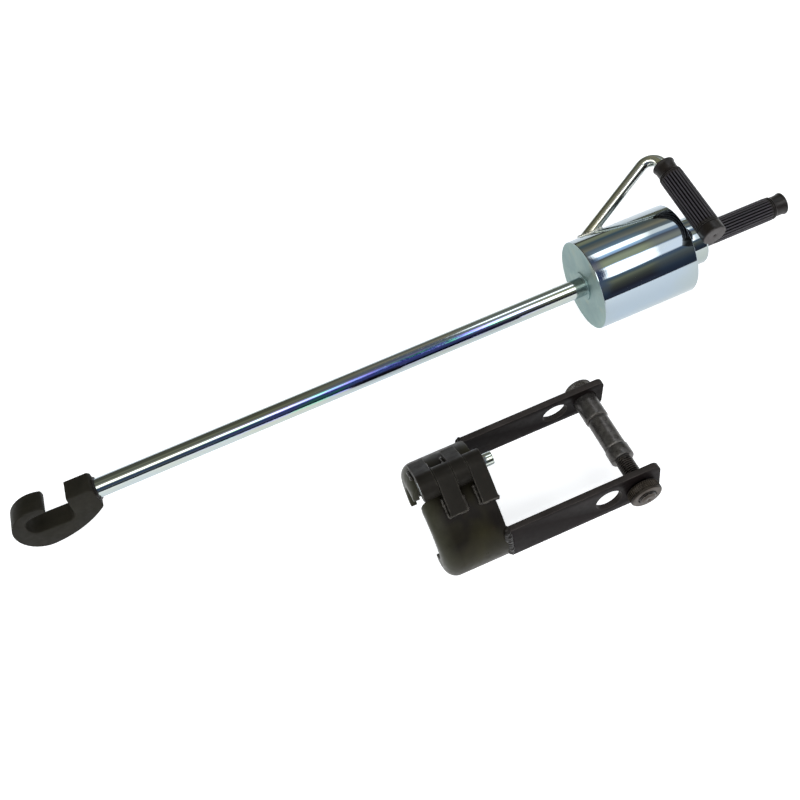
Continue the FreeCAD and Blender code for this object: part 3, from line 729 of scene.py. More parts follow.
def hook_outline():
    """(x, z) loop: top of the shank, down its end, round the bend to the tip, back inside."""
    bend_foot = (BEND_X, BEND_Z - BEND_R)
    out = [(8.0, 14.3), (31.0, 14.3), (HOOK_END_X, 11.6), (HOOK_END_X, -12.5)]
    out += three_arc((HOOK_END_X, -12.5), (32.6, -15.0), (30.5, -16.9), 10)[1:]
    out += three_arc((30.5, -16.9), (6.0, -31.0), bend_foot, 1.6)[1:]
    out += three_arc(bend_foot, (BEND_X - BEND_R, BEND_Z), (TIP_X - 1.6, TIP_Z + 0.8), 4)[1:]
    out += [(TIP_X - 0.5, TIP_Z), (TIP_X, TIP_Z - 1.0), (TIP_X, 9.6), (TIP_X - 0.6, 9.0)]
    out += [(-28.0, 8.5)]
    out += arc(-28.0, -3.0, 11.5, 90, 270, 6)[1:]
    out += [(-3.0, -15.2)]
    out += three_arc((-3.0, -15.2), (3.4, -12.7), (6.2, -6.2), 8)[1:]
    return out + [(7.95, 13.8)]


def build_hook():
    me = plate([hook_outline()], HOOK_THICK, 1.1, turn_x(HOOK_ROLL) @ upright((0, 0, 0)), res=3)
    add_piece("hook_forging", me, "hammer_shaft", [HOOK_BLACK], "hook", sharp=50)
    add_piece("hook_weld_bead", ring_bead(34.1, ring_r=10.6, radius=1.7, pitch=1.5),
              "hammer_shaft", [SEAM_BLACK], "hook_weld")


# ------------------------------------------------------------------ weight, bush and collar
WEIGHT_START, WEIGHT_END, WEIGHT_R = 560.6, 664.6, 47.4
FACE_RADII = (13.05, 20.0, 32.0, 45.8)      # rings that keep the end faces flat in shading
WEIGHT_BORE = FACE_RADII[0]


def build_weight():
    rounded = fillet([(WEIGHT_START, WEIGHT_BORE), (WEIGHT_START, WEIGHT_R),
                      (WEIGHT_END, WEIGHT_R), (WEIGHT_END, WEIGHT_BORE)], {1: 1.0, 2: 1.0}, 4)
    side = []
    for a, b in zip(rounded, rounded[1:]):
        side.append(a)
        if abs(a[1] - WEIGHT_R) < 1e-6 and abs(b[1] - WEIGHT_R) < 1e-6:
            side += line(a[0], b[0], WEIGHT_R, 24)[:-1]
    profile = [(WEIGHT_START, r) for r in FACE_RADII]
    profile += [p for p in side if p[1] > 46.0 and WEIGHT_START <= p[0] <= WEIGHT_END]
    profile += [(WEIGHT_END, r) for r in reversed(FACE_RADII)]
    rings = len(FACE_RADII)
    me = lathe(profile, 160, IDENTITY, closed=True,
               material_at=lambda i: int(i < rings or i >= len(profile) - rings - 1))
    add_piece("weight", me, "weight_body", [TURNED_SIDE, TURNED_FACE], "slide_weight",
              sharp=30)


def build_bush():
    """Lining of the weight's bore, with a thin flange on the hook side."""
    flange_x, bore, sleeve_r, flange_r = 559.4, 10.05, 13.0, 15.0
    profile = fillet([(flange_x, bore), (flange_x, flange_r), (WEIGHT_START, flange_r),
                      (WEIGHT_START, sleeve_r), (WEIGHT_END, sleeve_r), (WEIGHT_END, bore)],
                     {1: 0.4}, 3)
    add_piece("bush", lathe(profile, 72, IDENTITY, closed=True), "guide_bush_body", [BUSH_FACE],
              "guide_bush")


def build_collar():
    """Stop collar with its rounded rear edge."""
    start, radius = 664.9, 25.5
    profile = fillet([(start, ROD_R), (start, radius), (COLLAR_END, radius),
                      (COLLAR_END, ROD_R)], {1: 0.7, 2: 3.4}, 7)
    me = lathe(profile, 120, IDENTITY, closed=True, material_at=lambda i: int(i == 0))
    add_piece("collar", me, "hammer_shaft", [TURNED_SIDE, TURNED_FACE], "stop_collar",
              sharp=35)
    add_piece("collar_weld_bead", ring_bead(692.2, ring_r=10.4, radius=1.9, pitch=1.7),
              "hammer_shaft", [WELD_ZINC], "stop_collar_weld")


# ------------------------------------------------------------------ grips
RIBS = 24
RIB_START, RIB_END = 14.6, 80.6
GRIP_R = 12.1


def grip_profile(bore, closed):
    """(x, r) from the plain end at x = 0 to the flanged end at x = GRIP_LEN."""
    if closed:
        points = [(3.2, 0.0), (3.0, 1.2), (0.9, 1.5), (0.25, 2.1), (0.0, 2.9)]
    else:
        points = [(0.4, bore), (0.0, bore + 0.5)]
    points += [(0.0, 6.0), (0.0, 10.5), (0.2, 11.4), (0.8, 11.95), (1.7, GRIP_R)]
    points += [(x, GRIP_R) for x in (4, 7, 10.0)]
    for x in (10.6, 12.5):
        points += [(x, GRIP_R - 0.05), (x + 0.35, GRIP_R - 0.5), (x + 0.75, GRIP_R - 0.5),
                   (x + 1.1, GRIP_R - 0.05), (x + 1.45, GRIP_R)]
    points += [(x, GRIP_R) for x in spread(RIB_START, RIB_END, 30)]
    for x in (81.0, 82.8):
        points += [(x, GRIP_R - 0.1), (x + 0.35, GRIP_R - 0.55), (x + 0.75, GRIP_R - 0.55),
                   (x + 1.1, GRIP_R - 0.15)]
    points += [(84.5, 11.6), (84.9, 11.1), (85.6, 10.8), (87.0, 10.68), (91.0, 10.68),
               (93.4, 10.78), (95.0, 11.0), (96.1, 11.35), (96.8, 11.62), (97.4, 11.68),
               (97.85, 11.45), (GRIP_LEN, 11.0)]
    mouth_r, mouth_x = (7.6, 97.2) if closed else (10.0, 97.4)
    return points + [(GRIP_LEN, mouth_r), (mouth_x, bore + 0.02), (90.0, bore + 0.02)]


def grip_radius(x, r, th):
    """Crowned ribs with a deep valley between, faded at both ends."""
    start, end = RIB_START - 0.5, RIB_END + 0.5
    if not (start < x < end and r > 12.0):
        return r
    fade = min(1.0, max(0.0, min(x - start, end - x) / 2.0))
    off_crest = abs((th * RIBS / math.tau) % 1.0 - 0.5) * 2.0
    valley = min(1.0, max(0.0, (off_crest - 0.44) / 0.56) * 1.35)
    depth = 0.16 * min(1.0, off_crest / 0.44) ** 2 + 1.35 * valley
    return r + 0.10 * fade - depth * math.sqrt(fade)


def grip_mesh(matrix, bore, closed):
    me = lathe(grip_profile(bore, closed), RIBS * 14, matrix, radial=grip_radius)
    to_local = matrix.inverted()
    rib_crest_highlight, groove, cap = [me.attributes.new(key, 'FLOAT', 'POINT').name
                        for key in ("rib_crest_highlight", "groove", "cap")]
    for i, vert in enumerate(me.vertices):
        q = to_local @ (vert.co / MM)
        r = math.hypot(q.y, q.z)
        height = (r - (GRIP_R - 1.3)) / 1.3
        # crests of the ribs carry a painted highlight, valleys and grooves painted shade
        rib_crest_highlight_value = groove_shade_value = 0.0
        if RIB_START + 0.2 < q.x < RIB_END - 0.2:
            rib_crest_highlight_value = max(0.0, min(1.0, (height - 0.55) / 0.4))
            groove_shade_value = max(0.0, min(1.0, 1.0 - height / 0.6))
        if (10.4 < q.x < 13.9 or 80.8 < q.x < 84.2) and r < GRIP_R - 0.35:
            groove_shade_value = 0.8
        on_cap = closed and q.x < 0.95 and 1.0 < r < 11.45
        me.attributes[rib_crest_highlight].data[i].value = rib_crest_highlight_value
        me.attributes[groove].data[i].value = groove_shade_value
        me.attributes[cap].data[i].value = 1.0 if on_cap else 0.0
    return me


GRIP_TILT = math.radians(7.7)
GRIP_CAP = Vector((679.0, -42.6, 50.4))     # closed end of the side grip
GRIP_DIR = Vector((0, math.cos(GRIP_TILT), math.sin(GRIP_TILT)))


def build_grips():
    z_dir = Vector((1, 0, 0)).cross(GRIP_DIR).normalized()
    side_frame = axes(GRIP_DIR, z_dir.cross(GRIP_DIR), z_dir, GRIP_CAP)
    for name, body, matrix, bore, closed, node in (
            ("side_grip_rubber", "weight_body", side_frame, HANDLE_R, True, "side_grip"),
            ("rear_grip_rubber", "hammer_shaft", move(694.5, 0, 0), 9.0, False, "rear_grip")):
        add_piece(name, grip_mesh(matrix, bore, closed), body, [RUBBER], node,
                  sharp=60)


# ------------------------------------------------------------------ side handle bar
HANDLE_R = 6.0
HANDLE_FOOT = Vector((591.3, 38.9, 32.1))
BEND_RADIUS = 13.0
PAST_GRIP = 1.0         # straight bar between the grip and the bend


def handle_path():
    """Centre line through the grip and round one bend to the foot, and the leg's direction."""
    run = GRIP_LEN + PAST_GRIP + 19.0       # first guess of the distance to the bend's apex
    for _ in range(8):
        leg = HANDLE_FOOT - (GRIP_CAP + GRIP_DIR * run)
        leg_len = leg.length
        leg = leg / leg_len
        turn = math.acos(GRIP_DIR.dot(leg))
        tangent = BEND_RADIUS * math.tan(turn / 2)
        run = GRIP_LEN + PAST_GRIP + tangent
    inward = (leg - GRIP_DIR * leg.dot(GRIP_DIR)).normalized()
    bend_start = GRIP_CAP + GRIP_DIR * (run - tangent)
    path = [GRIP_CAP + GRIP_DIR * 40.0, GRIP_CAP + GRIP_DIR * 80.0, bend_start - GRIP_DIR * 0.5]
    centre = bend_start + inward * BEND_RADIUS
    for a in [turn * k / 24 for k in range(25)]:
        path.append(centre - inward * BEND_RADIUS * math.cos(a)
                    + GRIP_DIR * BEND_RADIUS * math.sin(a))
    bend_end = path[-1]
    for k in range(1, 9):
        path.append(bend_end + leg * (leg_len - tangent + 13.0) * k / 8)
    return path, leg


def build_handle():
    path, leg = handle_path()
    bar = add_piece("handle_bar", tube(path, HANDLE_R, 48), "weight_body", [BAR_ZINC],
                    "side_handle_bar", sharp=40)
    # the foot is cut to the weight's curve
    cut_r = WEIGHT_R - 0.02
    cutter = add_object("cutter", lathe([(540, 0), (540, cut_r), (690, cut_r), (690, 0)], 160,
                                        IDENTITY))
    cut = bar.modifiers.new("cut", 'BOOLEAN')
    cut.operation = 'DIFFERENCE'
    cut.object = cutter
    cut.solver = 'EXACT'
    bake_modifiers(bar)
    bpy.data.objects.remove(cutter)
    smooth_shade(bar.data, 40)
    add_piece("handle_weld_bead", beads([(foot_ring(-leg), 1.9, 1.9)], voxel=0.4),
              "weight_body", [WELD_ZINC], "side_handle_weld")


def foot_ring(back):
    """Points round the foot where lines along the leg leave the weight, found by halving."""
    ring_r, skin_r = 6.6, 47.9
    w1 = back.orthogonal().normalized()
    w2 = back.cross(w1)
    ring = []
    for k in range(49):
        a = math.tau * k / 48
        off = w1 * math.cos(a) * ring_r + w2 * math.sin(a) * ring_r
        low, high = -26.0, 30.0
        for _ in range(40):
            middle = (low + high) / 2
            q = HANDLE_FOOT + off + back * middle
            if math.hypot(q.y, q.z) < skin_r:
                low = middle
            else:
                high = middle
        q = HANDLE_FOOT + off + back * high
        if high < 29 and low > -25 and q.x > HANDLE_FOOT.x - 16:
            ring.append(q)
    return ring


# ------------------------------------------------------------------ clamshell halves
def shell_profile(length):
    """Closed (x, r) section: cylinder wall with a rounded turn-in to an end wall at x = 0."""
    wall, turn_r, hole_r, edge = 6.0, 12.0, 31.0, 0.5
    flat_r = 35.0
    inner_r, turn_in = SHELL_R - wall, turn_r - wall
    cut = edge * 0.3
    turn_c = SHELL_R - turn_r
    points = [(0.0, hole_r + edge), (0.0, flat_r), (0.0, turn_c)]
    points += [(turn_r - turn_r * math.cos(t), turn_c + turn_r * math.sin(t))
               for t in spread(0, math.pi / 2, 12)[1:]]
    points += line(turn_r, length - edge, SHELL_R, 10)
    points += [(length - cut, SHELL_R - cut), (length, SHELL_R - edge),
               (length, inner_r + edge), (length - cut, inner_r + cut),
               (length - edge, inner_r), (length - 20, inner_r), (turn_r, inner_r)]
    points += [(turn_r - turn_in * math.sin(t), turn_c + turn_in * math.cos(t))
               for t in spread(0, math.pi / 2, 6)[1:]]
    points += [(wall, flat_r), (wall, hole_r + edge), (wall - cut, hole_r + cut),
               (wall - edge, hole_r), (edge, hole_r), (cut, hole_r + cut)]
    return points


def build_shells():
    for name, body, frame_, start, span, node in (
            ("near_shell", "near_jaw", NEAR, 308.3, (97.0, 244.0), "near_half_shell"),
            ("far_shell", "far_jaw", FAR, 305.7, (-42.0, 83.0), "far_half_shell")):
        me = lathe(shell_profile(SHELL_END - start), 96, frame_ @ move(start, 0, 0),
                   closed=True, span=span)
        ob = add_piece(name, me, body, [SHELL_BLACK], node, sharp=40)
        bevel = ob.modifiers.new("bevel", 'BEVEL')
        bevel.width = 0.0005
        bevel.segments = 2
        bevel.limit_method = 'ANGLE'
        bevel.angle_limit = math.radians(50)
        bake_modifiers(ob)
        smooth_shade(ob.data, 50)


# ------------------------------------------------------------------ hinge straps and pin
ROLL_R, STRAP_THICK = 12.3, 6.0     # rolled eye round the pin, strap thickness
HINGE_PIN_R = 6.0
LEG_REACH = SHELL_R + STRAP_THICK - ROLL_R
LEG_SLOPE = math.acos(LEG_REACH / HINGE_RISE)
LEG_LEN = math.sqrt(HINGE_RISE ** 2 - LEG_REACH ** 2) - 12.0
# name, body, side (+1 far, -1 near), width, frame, CAD piece; in order of rising x
STRAPS = (
    ("strap_far_a", "far_jaw", 1, 15.0, FAR, "far_strap_front"),
    ("strap_near_a", "near_jaw", -1, 15.5, NEAR, "near_strap_front"),
    ("strap_far_b", "far_jaw", 1, 13.0, FAR, "far_strap_rear"),
    ("strap_near_b", "near_jaw", -1, 14.6, NEAR, "near_strap_rear"),
)
STRAP_WIDTH = [strap[3] for strap in STRAPS]
STRAP_X = [312.0]
for width in STRAP_WIDTH[:-1]:
    STRAP_X.append(STRAP_X[-1] + width + 0.3)


def leg_directions(side):
    """(y, z) unit vectors: outward from the strap's leg, and down along it."""
    sine, cosine = math.sin(LEG_SLOPE), math.cos(LEG_SLOPE)
    return (side * sine, cosine), (side * cosine, -sine)


def strap_outline(side):
    """(y, z) loop of the closed clamshell: the leg, then the eye."""
    out, down = leg_directions(side)

    def at(outward, along):
        return (out[0] * outward + down[0] * along,
                HINGE_RISE + out[1] * outward + down[1] * along)

    # the leg's inner face meets the eye again here
    inner = ROLL_R - STRAP_THICK
    y, z = at(inner, math.sqrt(ROLL_R ** 2 - inner ** 2))
    start = math.degrees(math.atan2(z - HINGE_RISE, y))
    if side < 0:
        start += 360
    end = math.degrees(math.atan2(out[1], out[0])) - side * 360
    points = [at(ROLL_R, 0), at(ROLL_R, LEG_LEN), at(inner, LEG_LEN)]
    return points + arc(0.0, HINGE_RISE, ROLL_R, start, end, 6)[:-1]


def build_straps():
    for (name, body, side, width, frame_, node), x in zip(STRAPS, STRAP_X):
        loops = [clean_loop(strap_outline(side)), circle(0, HINGE_RISE, 6.05, 8)]
        matrix = frame_ @ axes((0, 1, 0), (0, 0, 1), (1, 0, 0), (x + width / 2, 0, 0))
        add_piece(name, plate(loops, width, 0.55, matrix, rim=True), body,
                  [STRAP_SIDE, STRAP_RIM], node, sharp=45)


def build_hinge_pin():
    length = STRAP_X[-1] + STRAP_WIDTH[-1] + 9.0 - STRAP_X[0]
    profile = fillet([(0, 0), (0, HINGE_PIN_R), (length, HINGE_PIN_R), (length, 0)],
                     {1: 0.9, 2: 1.0}, 4)
    me = lathe(densify(profile, 6.0), 64, FAR @ move(STRAP_X[0], 0, HINGE_RISE))
    add_piece("hinge_pin_zinc", me, "far_jaw", [HINGE_ZINC], "hinge_pin", sharp=35)


def strap_weld(index, both):
    """Bead paths: two across the leg's tip, one down its low-x side, and with `both` one down
    its high-x side."""
    out, down = [Vector((0, *d)) for d in leg_directions(STRAPS[index][2])]
    tip = Vector((0, 0, HINGE_RISE)) + out * (ROLL_R - STRAP_THICK) + down * LEG_LEN
    left = STRAP_X[index]
    right = left + STRAP_WIDTH[index]
    paths = []
    for lift, ahead, radius in ((-1.6, 0.9, 1.9), (-2.6, 2.6, 1.5)):
        q = tip + out * lift + down * ahead
        row = [Vector((x, q.y, q.z)) for x in spread(left - 0.3, right + 0.3, 6)]
        paths.append((row, radius, 1.8))
    flank = []
    for k in range(8):
        back = 1 - k / 7.0
        q = tip - down * (15.0 * back) - out * (0.5 + 1.0 * back ** 2)
        r = math.hypot(q.y, q.z)
        if r < SHELL_R:
            q = q * (SHELL_R / r)
        flank.append(q)
    paths.append(([Vector((left - 1.3, q.y, q.z)) for q in flank], 1.7, 2.3))
    if both:
        paths.append(([Vector((right + 0.8, q.y, q.z)) for q in flank[2:]], 1.5, 1.9))
    return paths


def build_strap_welds():
    for half, frame_, paths in (
            ("near", NEAR, strap_weld(1, True) + strap_weld(3, False)),
            ("far", FAR, strap_weld(0, True) + strap_weld(2, True))):
        add_piece(half + "_strap_beads", beads(paths, 0.35, frame_), half + "_jaw", [WELD_BLACK_PAINTED_GLINTS],
                  half + "_strap_welds", sharp=60)


# ------------------------------------------------------------------ arms
ARM_LEN, ARM_HALF_HEIGHT, ARM_CORNER = 145.0, 20.5, 7.0
ARM_HOLE_AT, ARM_HOLE_R = 95.0, 12.5        # second hole, nearer the shell


def arm_loops(pin_hole_r):
    x, z = ARM_LEN - ARM_CORNER, ARM_HALF_HEIGHT - ARM_CORNER
    outline = [(0, -ARM_HALF_HEIGHT), (x, -ARM_HALF_HEIGHT)]
    outline += arc(x, -z, ARM_CORNER, -90, 0, 10)[1:]
    outline += arc(x, z, ARM_CORNER, 0, 90, 10) + [(0, ARM_HALF_HEIGHT)]
    return [clean_loop(outline), circle(ARM_PIN_AT, 0, pin_hole_r, 6),
            circle(ARM_HOLE_AT, 0, ARM_HOLE_R, 6)]


def build_arms():
    for half, frame_, side, hole_r, material in (("far", FAR, 1, 11.6, FAR_ARM_PAINTED_DARKER),
                                                 ("near", NEAR, -1, 9.5, NEAR_ARM_PAINTED_LIGHTER)):
        matrix = frame_ @ upright((SHELL_END, side * ARM_Y, 0))
        add_piece("arm_" + half, plate(arm_loops(hole_r), 6.0, 0.6, matrix, rim=True),
                  half + "_jaw", [material, ARM_RIM_PAINTED_HIGHLIGHT], half + "_arm", sharp=45)


def build_arm_welds():
    """Seam down the outside of each joint, a shorter inside run, and beads at its top."""
    for half, frame_, side in (("far", FAR, 1), ("near", NEAR, -1)):
        outer = [(SHELL_END + 0.4 * math.sin(k * 1.7),
                  side * min(49.3, math.sqrt(50.2 ** 2 - z * z)), z)
                 for k, z in enumerate(spread(-20.0, 20.0, 14))]
        inner = [(SHELL_END + 0.3, side * 43.2, z) for z in spread(-18.5, 18.5, 8)]
        top = [(SHELL_END - 0.2, side * y, 19.3) for y in (44.0, 45.5, 47.5, 49.0)]
        heel = [(SHELL_END - 2.0, side * 48.2, z) for z in (17.6, 15.0, 11.5, 7.0)]
        paths = [(outer, 2.7, 2.6), (inner, 1.7, 1.8), (top, 2.3, 1.6), (heel, 2.6, 1.4)]
        add_piece("arm_bead_" + half, beads(paths, 0.45, frame_), half + "_jaw", [SEAM_BLACK],
                  half + "_arm_weld", sharp=60)


# ------------------------------------------------------------------ cross pin and nut
PIN_SEG = 184
# distances from the head: neck start and end, thread shoulder, tip
NECK_START, NECK_END, SHOULDER, PIN_TIP = 39.6, 74.6, 87.1, 132.1
THREAD_START, THREAD_END = SHOULDER + 1.6, PIN_TIP - 1.2
THREAD_R, THREAD_DEPTH, THREAD_PITCH = 7.95, 1.15, 2.0


def pin_frame(y):
    """Local x runs towards -y across both arms, from y."""
    return CLAM @ axes((0, -1, 0), (1, 0, 0), (0, 0, 1), (PIN_X, y, PIN_Z))


def knurl(depth, x0, x1):
    """Radius function: 46 notches between x0 and x1, fading over 0.9 at both ends."""
    def radius(x, r, th):
        if x0 <= x <= x1 and r > 12:
            fade = min(1.0, (x - x0) / 0.9, (x1 - x) / 0.9)
            return r - depth * max(0.0, fade) * (abs((th * 46 / math.tau) % 1.0 - 0.5) * 2.0)
        return r
    return radius


def build_pin():
    profile = [(1.4, 0), (1.2, 4.0), (0.25, 5.2), (0, 6.0), (0, 12.1), (0.3, 12.9), (0.9, 13.35)]
    profile += line(0.9, 6.9, 13.5, 7)
    profile += [(7.5, 13.3), (7.85, 12.8), (8.0, 12.2), (8.0, 11.5), (8.3, 11.05), (8.9, 11.0)]
    profile += line(8.9, NECK_START - 0.35, 11.0, 10)
    profile += [(NECK_START - 0.05, 10.72), (NECK_START, 9.72), (NECK_START + 0.9, 9.72),
                (NECK_START + 1.15, 10.0)]
    profile += line(NECK_START + 1.15, NECK_END - 1.15, 10.0, 10)
    profile += [(NECK_END - 0.9, 9.72), (NECK_END, 9.72), (NECK_END + 0.05, 10.72),
                (NECK_END + 0.35, 11.0), (SHOULDER - 1.0, 11.0), (SHOULDER - 0.3, 10.7),
                (SHOULDER, 10.1), (SHOULDER, 8.6), (SHOULDER + 0.3, 7.2), (SHOULDER + 1.4, 7.15)]
    thread_at = len(profile)
    steps = int((THREAD_END - THREAD_START) / (THREAD_PITCH / 8))
    profile += [(x, THREAD_R) for x in spread(THREAD_START, THREAD_END, steps)]
    end_at = len(profile)
    profile += [(PIN_TIP - 1.1, 6.9), (PIN_TIP - 0.2, 5.9), (PIN_TIP, 5.5), (PIN_TIP, 3.8),
                (PIN_TIP, 2.0), (PIN_TIP - 0.8, 1.0), (PIN_TIP - 1.2, 0)]
    head_radius = knurl(0.6, 0.8, 7.2)

    def radius(x, r, th):
        # the tip's centre shares the thread's end x, but has no radius to change
        if THREAD_START <= x <= THREAD_END:
            groove = abs((x / THREAD_PITCH - th / math.tau) % 1.0 - 0.5) * 2.0
            groove = min(1.0, max(0.0, (groove - 0.10) / 0.80))
            fade = max(0.0, min(1.0, (x - THREAD_START) / 1.5, (THREAD_END - x) / 1.0))
            return THREAD_R - THREAD_DEPTH * groove * fade - 0.4 * (1 - fade)
        return head_radius(x, r, th)

    def material_at(i):
        if i >= end_at:
            return 2
        return 1 if i >= thread_at - 2 else 0

    me = lathe(profile, PIN_SEG, pin_frame(63.6), radial=radius, material_at=material_at)
    add_piece("cross_pin_turned", me, "cross_pin_body", [PIN_BLACK, THREAD_BLACK, NUT_FACE],
              "cross_pin", sharp=55)


def build_nut():
    profile = [(0.0, 8.1), (0.0, 13.2), (0.3, 14.1), (0.9, 14.7)]
    profile += line(0.9, 8.3, 15.0, 8)
    face_at = len(profile)
    profile += [(8.9, 14.6), (9.6, 14.0), (10.0, 13.3), (10.0, 11.5), (10.0, 9.4), (9.9, 9.0),
                (8.9, 8.6), (7.8, 8.3), (7.2, 8.1)]
    me = lathe(profile, PIN_SEG, pin_frame(-55.6), radial=knurl(0.7, 0.9, 8.5), closed=True,
               material_at=lambda i: int(face_at + 1 <= i <= face_at + 4))
    add_piece("nut_knurled", me, "nut_body", [NUT_BLACK, NUT_FACE], "knurled_nut",
              sharp=55)


# ------------------------------------------------------------------ stage (metres)
FLOOR_Z = -0.0476


def build_floor():
    me = bpy.data.meshes.new("floor")
    corners = [(-4, -4, FLOOR_Z), (5, -4, FLOOR_Z), (5, 5, FLOOR_Z), (-4, 5, FLOOR_Z)]
    me.from_pydata(corners, [], [(0, 1, 2, 3)])
    floor = add_object("floor", me)
    n = Nodes(bpy.data.materials.new("pale_floor"))
    # the camera sees it glow a little more than the pieces do
    camera_ray = n.new("ShaderNodeLightPath").outputs["Is Camera Ray"]
    n.surface(Base_Color=(0.86, 0.86, 0.86), Roughness=0.75, Specular_IOR_Level=0.1,
              Emission_Color=(0.97, 0.985, 1),
              Emission_Strength=n.remap(camera_ray, (0.0, 1.0), to=(0.42, 0.62)))
    me.materials.append(n.owner)


LIGHT_TARGET = Vector((0.42, -0.06, 0.0))
# name, place, size (m), power (W), colour
LIGHTS = (
    ("front_box", (0.35, -1.7, 1.5), (2.4, 1.0), 36, (1, 1, 1)),
    ("top_strip", (0.40, 0.25, 1.9), (2.6, 1.2), 6, (1, 1, 1)),
    ("left_fill", (-1.5, -0.3, 1.1), (1.0, 1.0), 9, (0.95, 1.0, 0.98)),
    ("back_soft", (0.6, 1.7, 1.2), (2.2, 0.8), 4, (1.0, 0.98, 0.94)),
)


def build_lights():
    for name, place, size, power, colour in LIGHTS:
        light = bpy.data.lights.new(name, 'AREA')
        light.shape = 'RECTANGLE'
        light.size, light.size_y = size
        light.energy = power
        light.color = colour
        ob = add_object(name, light)
        ob.location = place
        aim = LIGHT_TARGET - Vector(place)
        ob.rotation_euler = aim.to_track_quat('-Z', 'Y').to_euler()
    for ob in scene.objects:
        if ob.type == 'LIGHT':
            ob.visible_glossy = False


# Bands of the reflected room: (degrees about x from +y up over to -y, RGB)
SOFT_BOXES = [
    (0, (0.05, 0.05, 0.05)), (6, (0.07, 0.07, 0.06)), (14, (0.30, 0.30, 0.19)),
    (22, (0.24, 0.24, 0.17)), (29, (0.06, 0.10, 0.13)), (40, (0.15, 0.15, 0.13)),
    (50, (0.26, 0.24, 0.19)), (56, (0.16, 0.20, 0.24)), (65, (0.22, 0.30, 0.36)),
    (67, (2.6, 2.6, 2.6)), (76, (2.6, 2.6, 2.6)), (79, (0.55, 0.75, 1.0)),
    (84, (0.45, 0.6, 0.8)), (87, (0.10, 0.10, 0.10)), (92, (0.25, 0.26, 0.18)),
    (98, (0.44, 0.44, 0.28)), (108, (0.40, 0.42, 0.27)), (109, (0.55, 0.7, 0.95)),
    (111.5, (3.0, 3.0, 3.0)), (133, (3.0, 3.0, 3.0)), (136, (0.10, 0.16, 0.22)),
    (141, (0.09, 0.12, 0.14)), (147, (0.20, 0.20, 0.13)), (153, (0.11, 0.11, 0.08)),
    (161, (0.06, 0.06, 0.05)), (172, (0.025, 0.025, 0.035)), (180, (0.035, 0.04, 0.06))]
DARK_FLAGS = [
    (0, (0.03, 0.03, 0.04)), (8, (0.20, 0.18, 0.12)), (14, (0.05, 0.05, 0.05)),
    (22, (0.22, 0.21, 0.16)), (34, (0.09, 0.10, 0.10)), (50, (0.32, 0.27, 0.19)),
    (58, (0.16, 0.15, 0.13)), (68, (0.14, 0.15, 0.17)), (84, (0.07, 0.09, 0.15)),
    (95, (0.20, 0.19, 0.22)), (103, (0.26, 0.24, 0.25)), (112, (0.06, 0.08, 0.14)),
    (128, (0.05, 0.07, 0.14)), (142, (0.09, 0.12, 0.17)), (155, (0.09, 0.10, 0.11)),
    (169, (0.04, 0.06, 0.09)), (180, (0.02, 0.03, 0.05))]
LEFT_BOX = [
    (0, (0.03, 0.03, 0.04)), (8, (0.10, 0.10, 0.08)), (30, (0.08, 0.08, 0.06)),
    (52, (0.09, 0.09, 0.07)), (68, (0.20, 0.20, 0.14)), (84, (0.09, 0.10, 0.10)),
    (98, (0.40, 0.38, 0.28)), (104, (0.55, 0.54, 0.45)), (107, (3.0, 3.0, 2.95)),
    (121, (3.0, 3.0, 2.95)), (125, (0.50, 0.56, 0.44)), (134, (0.03, 0.05, 0.12)),
    (144, (0.03, 0.06, 0.14)), (156, (0.10, 0.11, 0.12)), (170, (0.02, 0.03, 0.05)),
    (180, (0.03, 0.04, 0.06))]
BAND_DRIFT = 0.22       # radians the bands shift per unit of x direction
BAND_WAVER = 0.16       # radians of noise on the band edges
ALONG_WAVER = 0.05      # noise on the borders along x


def along(x):
    """Place of direction x (-1 to 1) on the masks along the rod, with the mean waver."""
    return x * 0.5 + 0.5 + ALONG_WAVER / 2


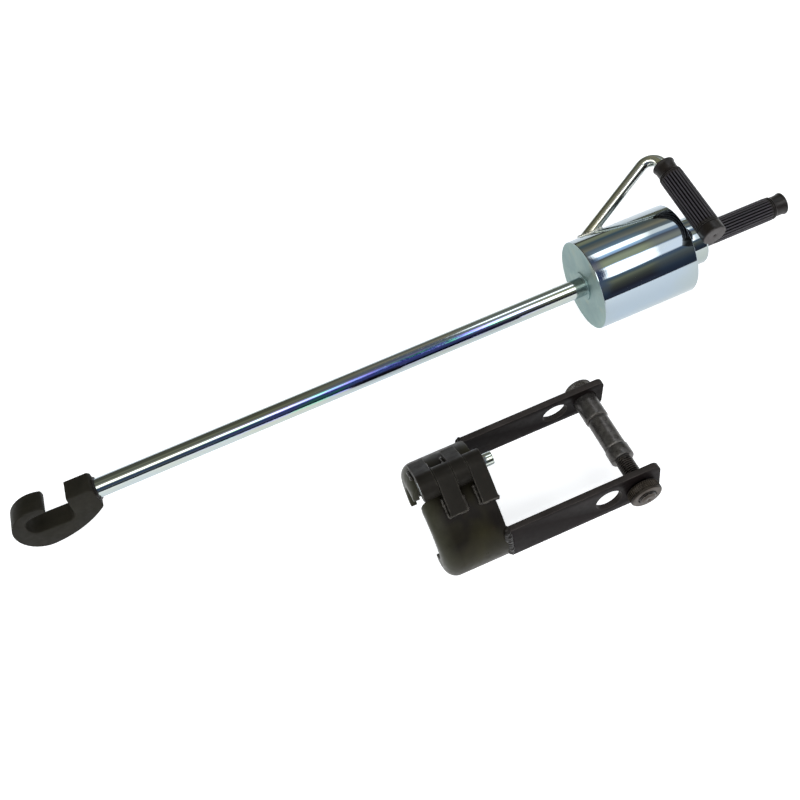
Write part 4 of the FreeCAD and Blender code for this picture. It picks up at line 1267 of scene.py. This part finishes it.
def build_world():
    """Polished metal sees banded soft boxes between dark flags; the rest gets a pale room."""
    world = bpy.data.worlds.new("studio")
    scene.world = world
    n = Nodes(world)
    n.tree.nodes.clear()
    direction = n.point("Generated")
    waver = n.noise(direction, scale=2.2, detail=3.0)
    at = n.xyz(direction)
    angle = n.new("ShaderNodeMath")
    angle.operation = 'ARCTAN2'
    n.feed(at["Z"], angle.inputs[0])
    n.feed(at["Y"], angle.inputs[1])
    band = n.math('MULTIPLY_ADD', at["X"], BAND_DRIFT, angle.outputs[0])
    band = n.math('MULTIPLY_ADD', waver, BAND_WAVER, band)
    band = n.math('MULTIPLY_ADD', band, 1.0 / math.pi, -BAND_WAVER / 2 / math.pi)
    boxes, dark, left_box = [n.ramp(band, stops, period=180.0)
                             for stops in (SOFT_BOXES, DARK_FLAGS, LEFT_BOX)]
    x = n.math('MULTIPLY_ADD', at["X"], 0.5, 0.5)
    x = n.math('MULTIPLY_ADD', waver, ALONG_WAVER, x)
    in_left = n.ramp(x, [(0.0, 1.0), (along(-0.02), 1.0), (along(0.10), 0.0), (1.0, 0.0)])
    in_boxes = n.ramp(x, [(0.0, 0.0), (along(0.17), 0.0), (along(0.205), 1.0),
                          (along(0.40), 1.0), (along(0.45), 0.35), (along(0.60), 0.35),
                          (1.0, 0.6)])
    room = n.mix(in_boxes, n.mix(in_left, dark, left_box), boxes)

    def background(colour, strength):
        node = n.new("ShaderNodeBackground")
        n.feed(colour, node.inputs["Color"])
        node.inputs["Strength"].default_value = strength
        return node.outputs[0]

    def choose(fac, off, on):
        node = n.new("ShaderNodeMixShader")
        for i, socket in enumerate((fac, off, on)):
            n.feed(socket, node.inputs[i])
        return node.outputs[0]

    ray = n.new("ShaderNodeLightPath").outputs
    pale = background((0.80, 0.82, 0.85), strength=0.42)
    light = choose(ray["Is Glossy Ray"], pale, background(room, strength=1.3))
    backdrop = background((0.93, 0.94, 0.95), strength=0.95)
    seen = choose(ray["Is Camera Ray"], light, backdrop)
    n.feed(seen, n.new("ShaderNodeOutputWorld").inputs["Surface"])


CAMERA_PLACE = Vector((252.1, -549.9, 745.0)) * MM
CAMERA_RIGHT = (0.9176, -0.3700, -0.1457)
CAMERA_UP = (0.3860, 0.7410, 0.5495)
CAMERA_BACK = (-0.0954, -0.5604, 0.8227)


def build_camera():
    cam = bpy.data.cameras.new("camera")
    cam.sensor_width = 36.0
    cam.lens = 41.643
    cam.clip_start = 0.05
    cam.clip_end = 30.0
    ob = add_object("camera", cam)
    ob.matrix_world = axes(CAMERA_RIGHT, CAMERA_UP, CAMERA_BACK, CAMERA_PLACE)
    scene.camera = ob
    scene.view_settings.view_transform = 'Standard'
    scene.view_settings.look = 'None'


# ------------------------------------------------------------------ build
# the order matters: the beads share one random sequence
for build in (build_rod, build_hook, build_weight, build_bush, build_collar, build_grips,
              build_handle, build_shells, build_straps, build_hinge_pin, build_strap_welds,
              build_arms, build_arm_welds, build_pin, build_nut, build_floor, build_lights,
              build_world, build_camera):
    build()
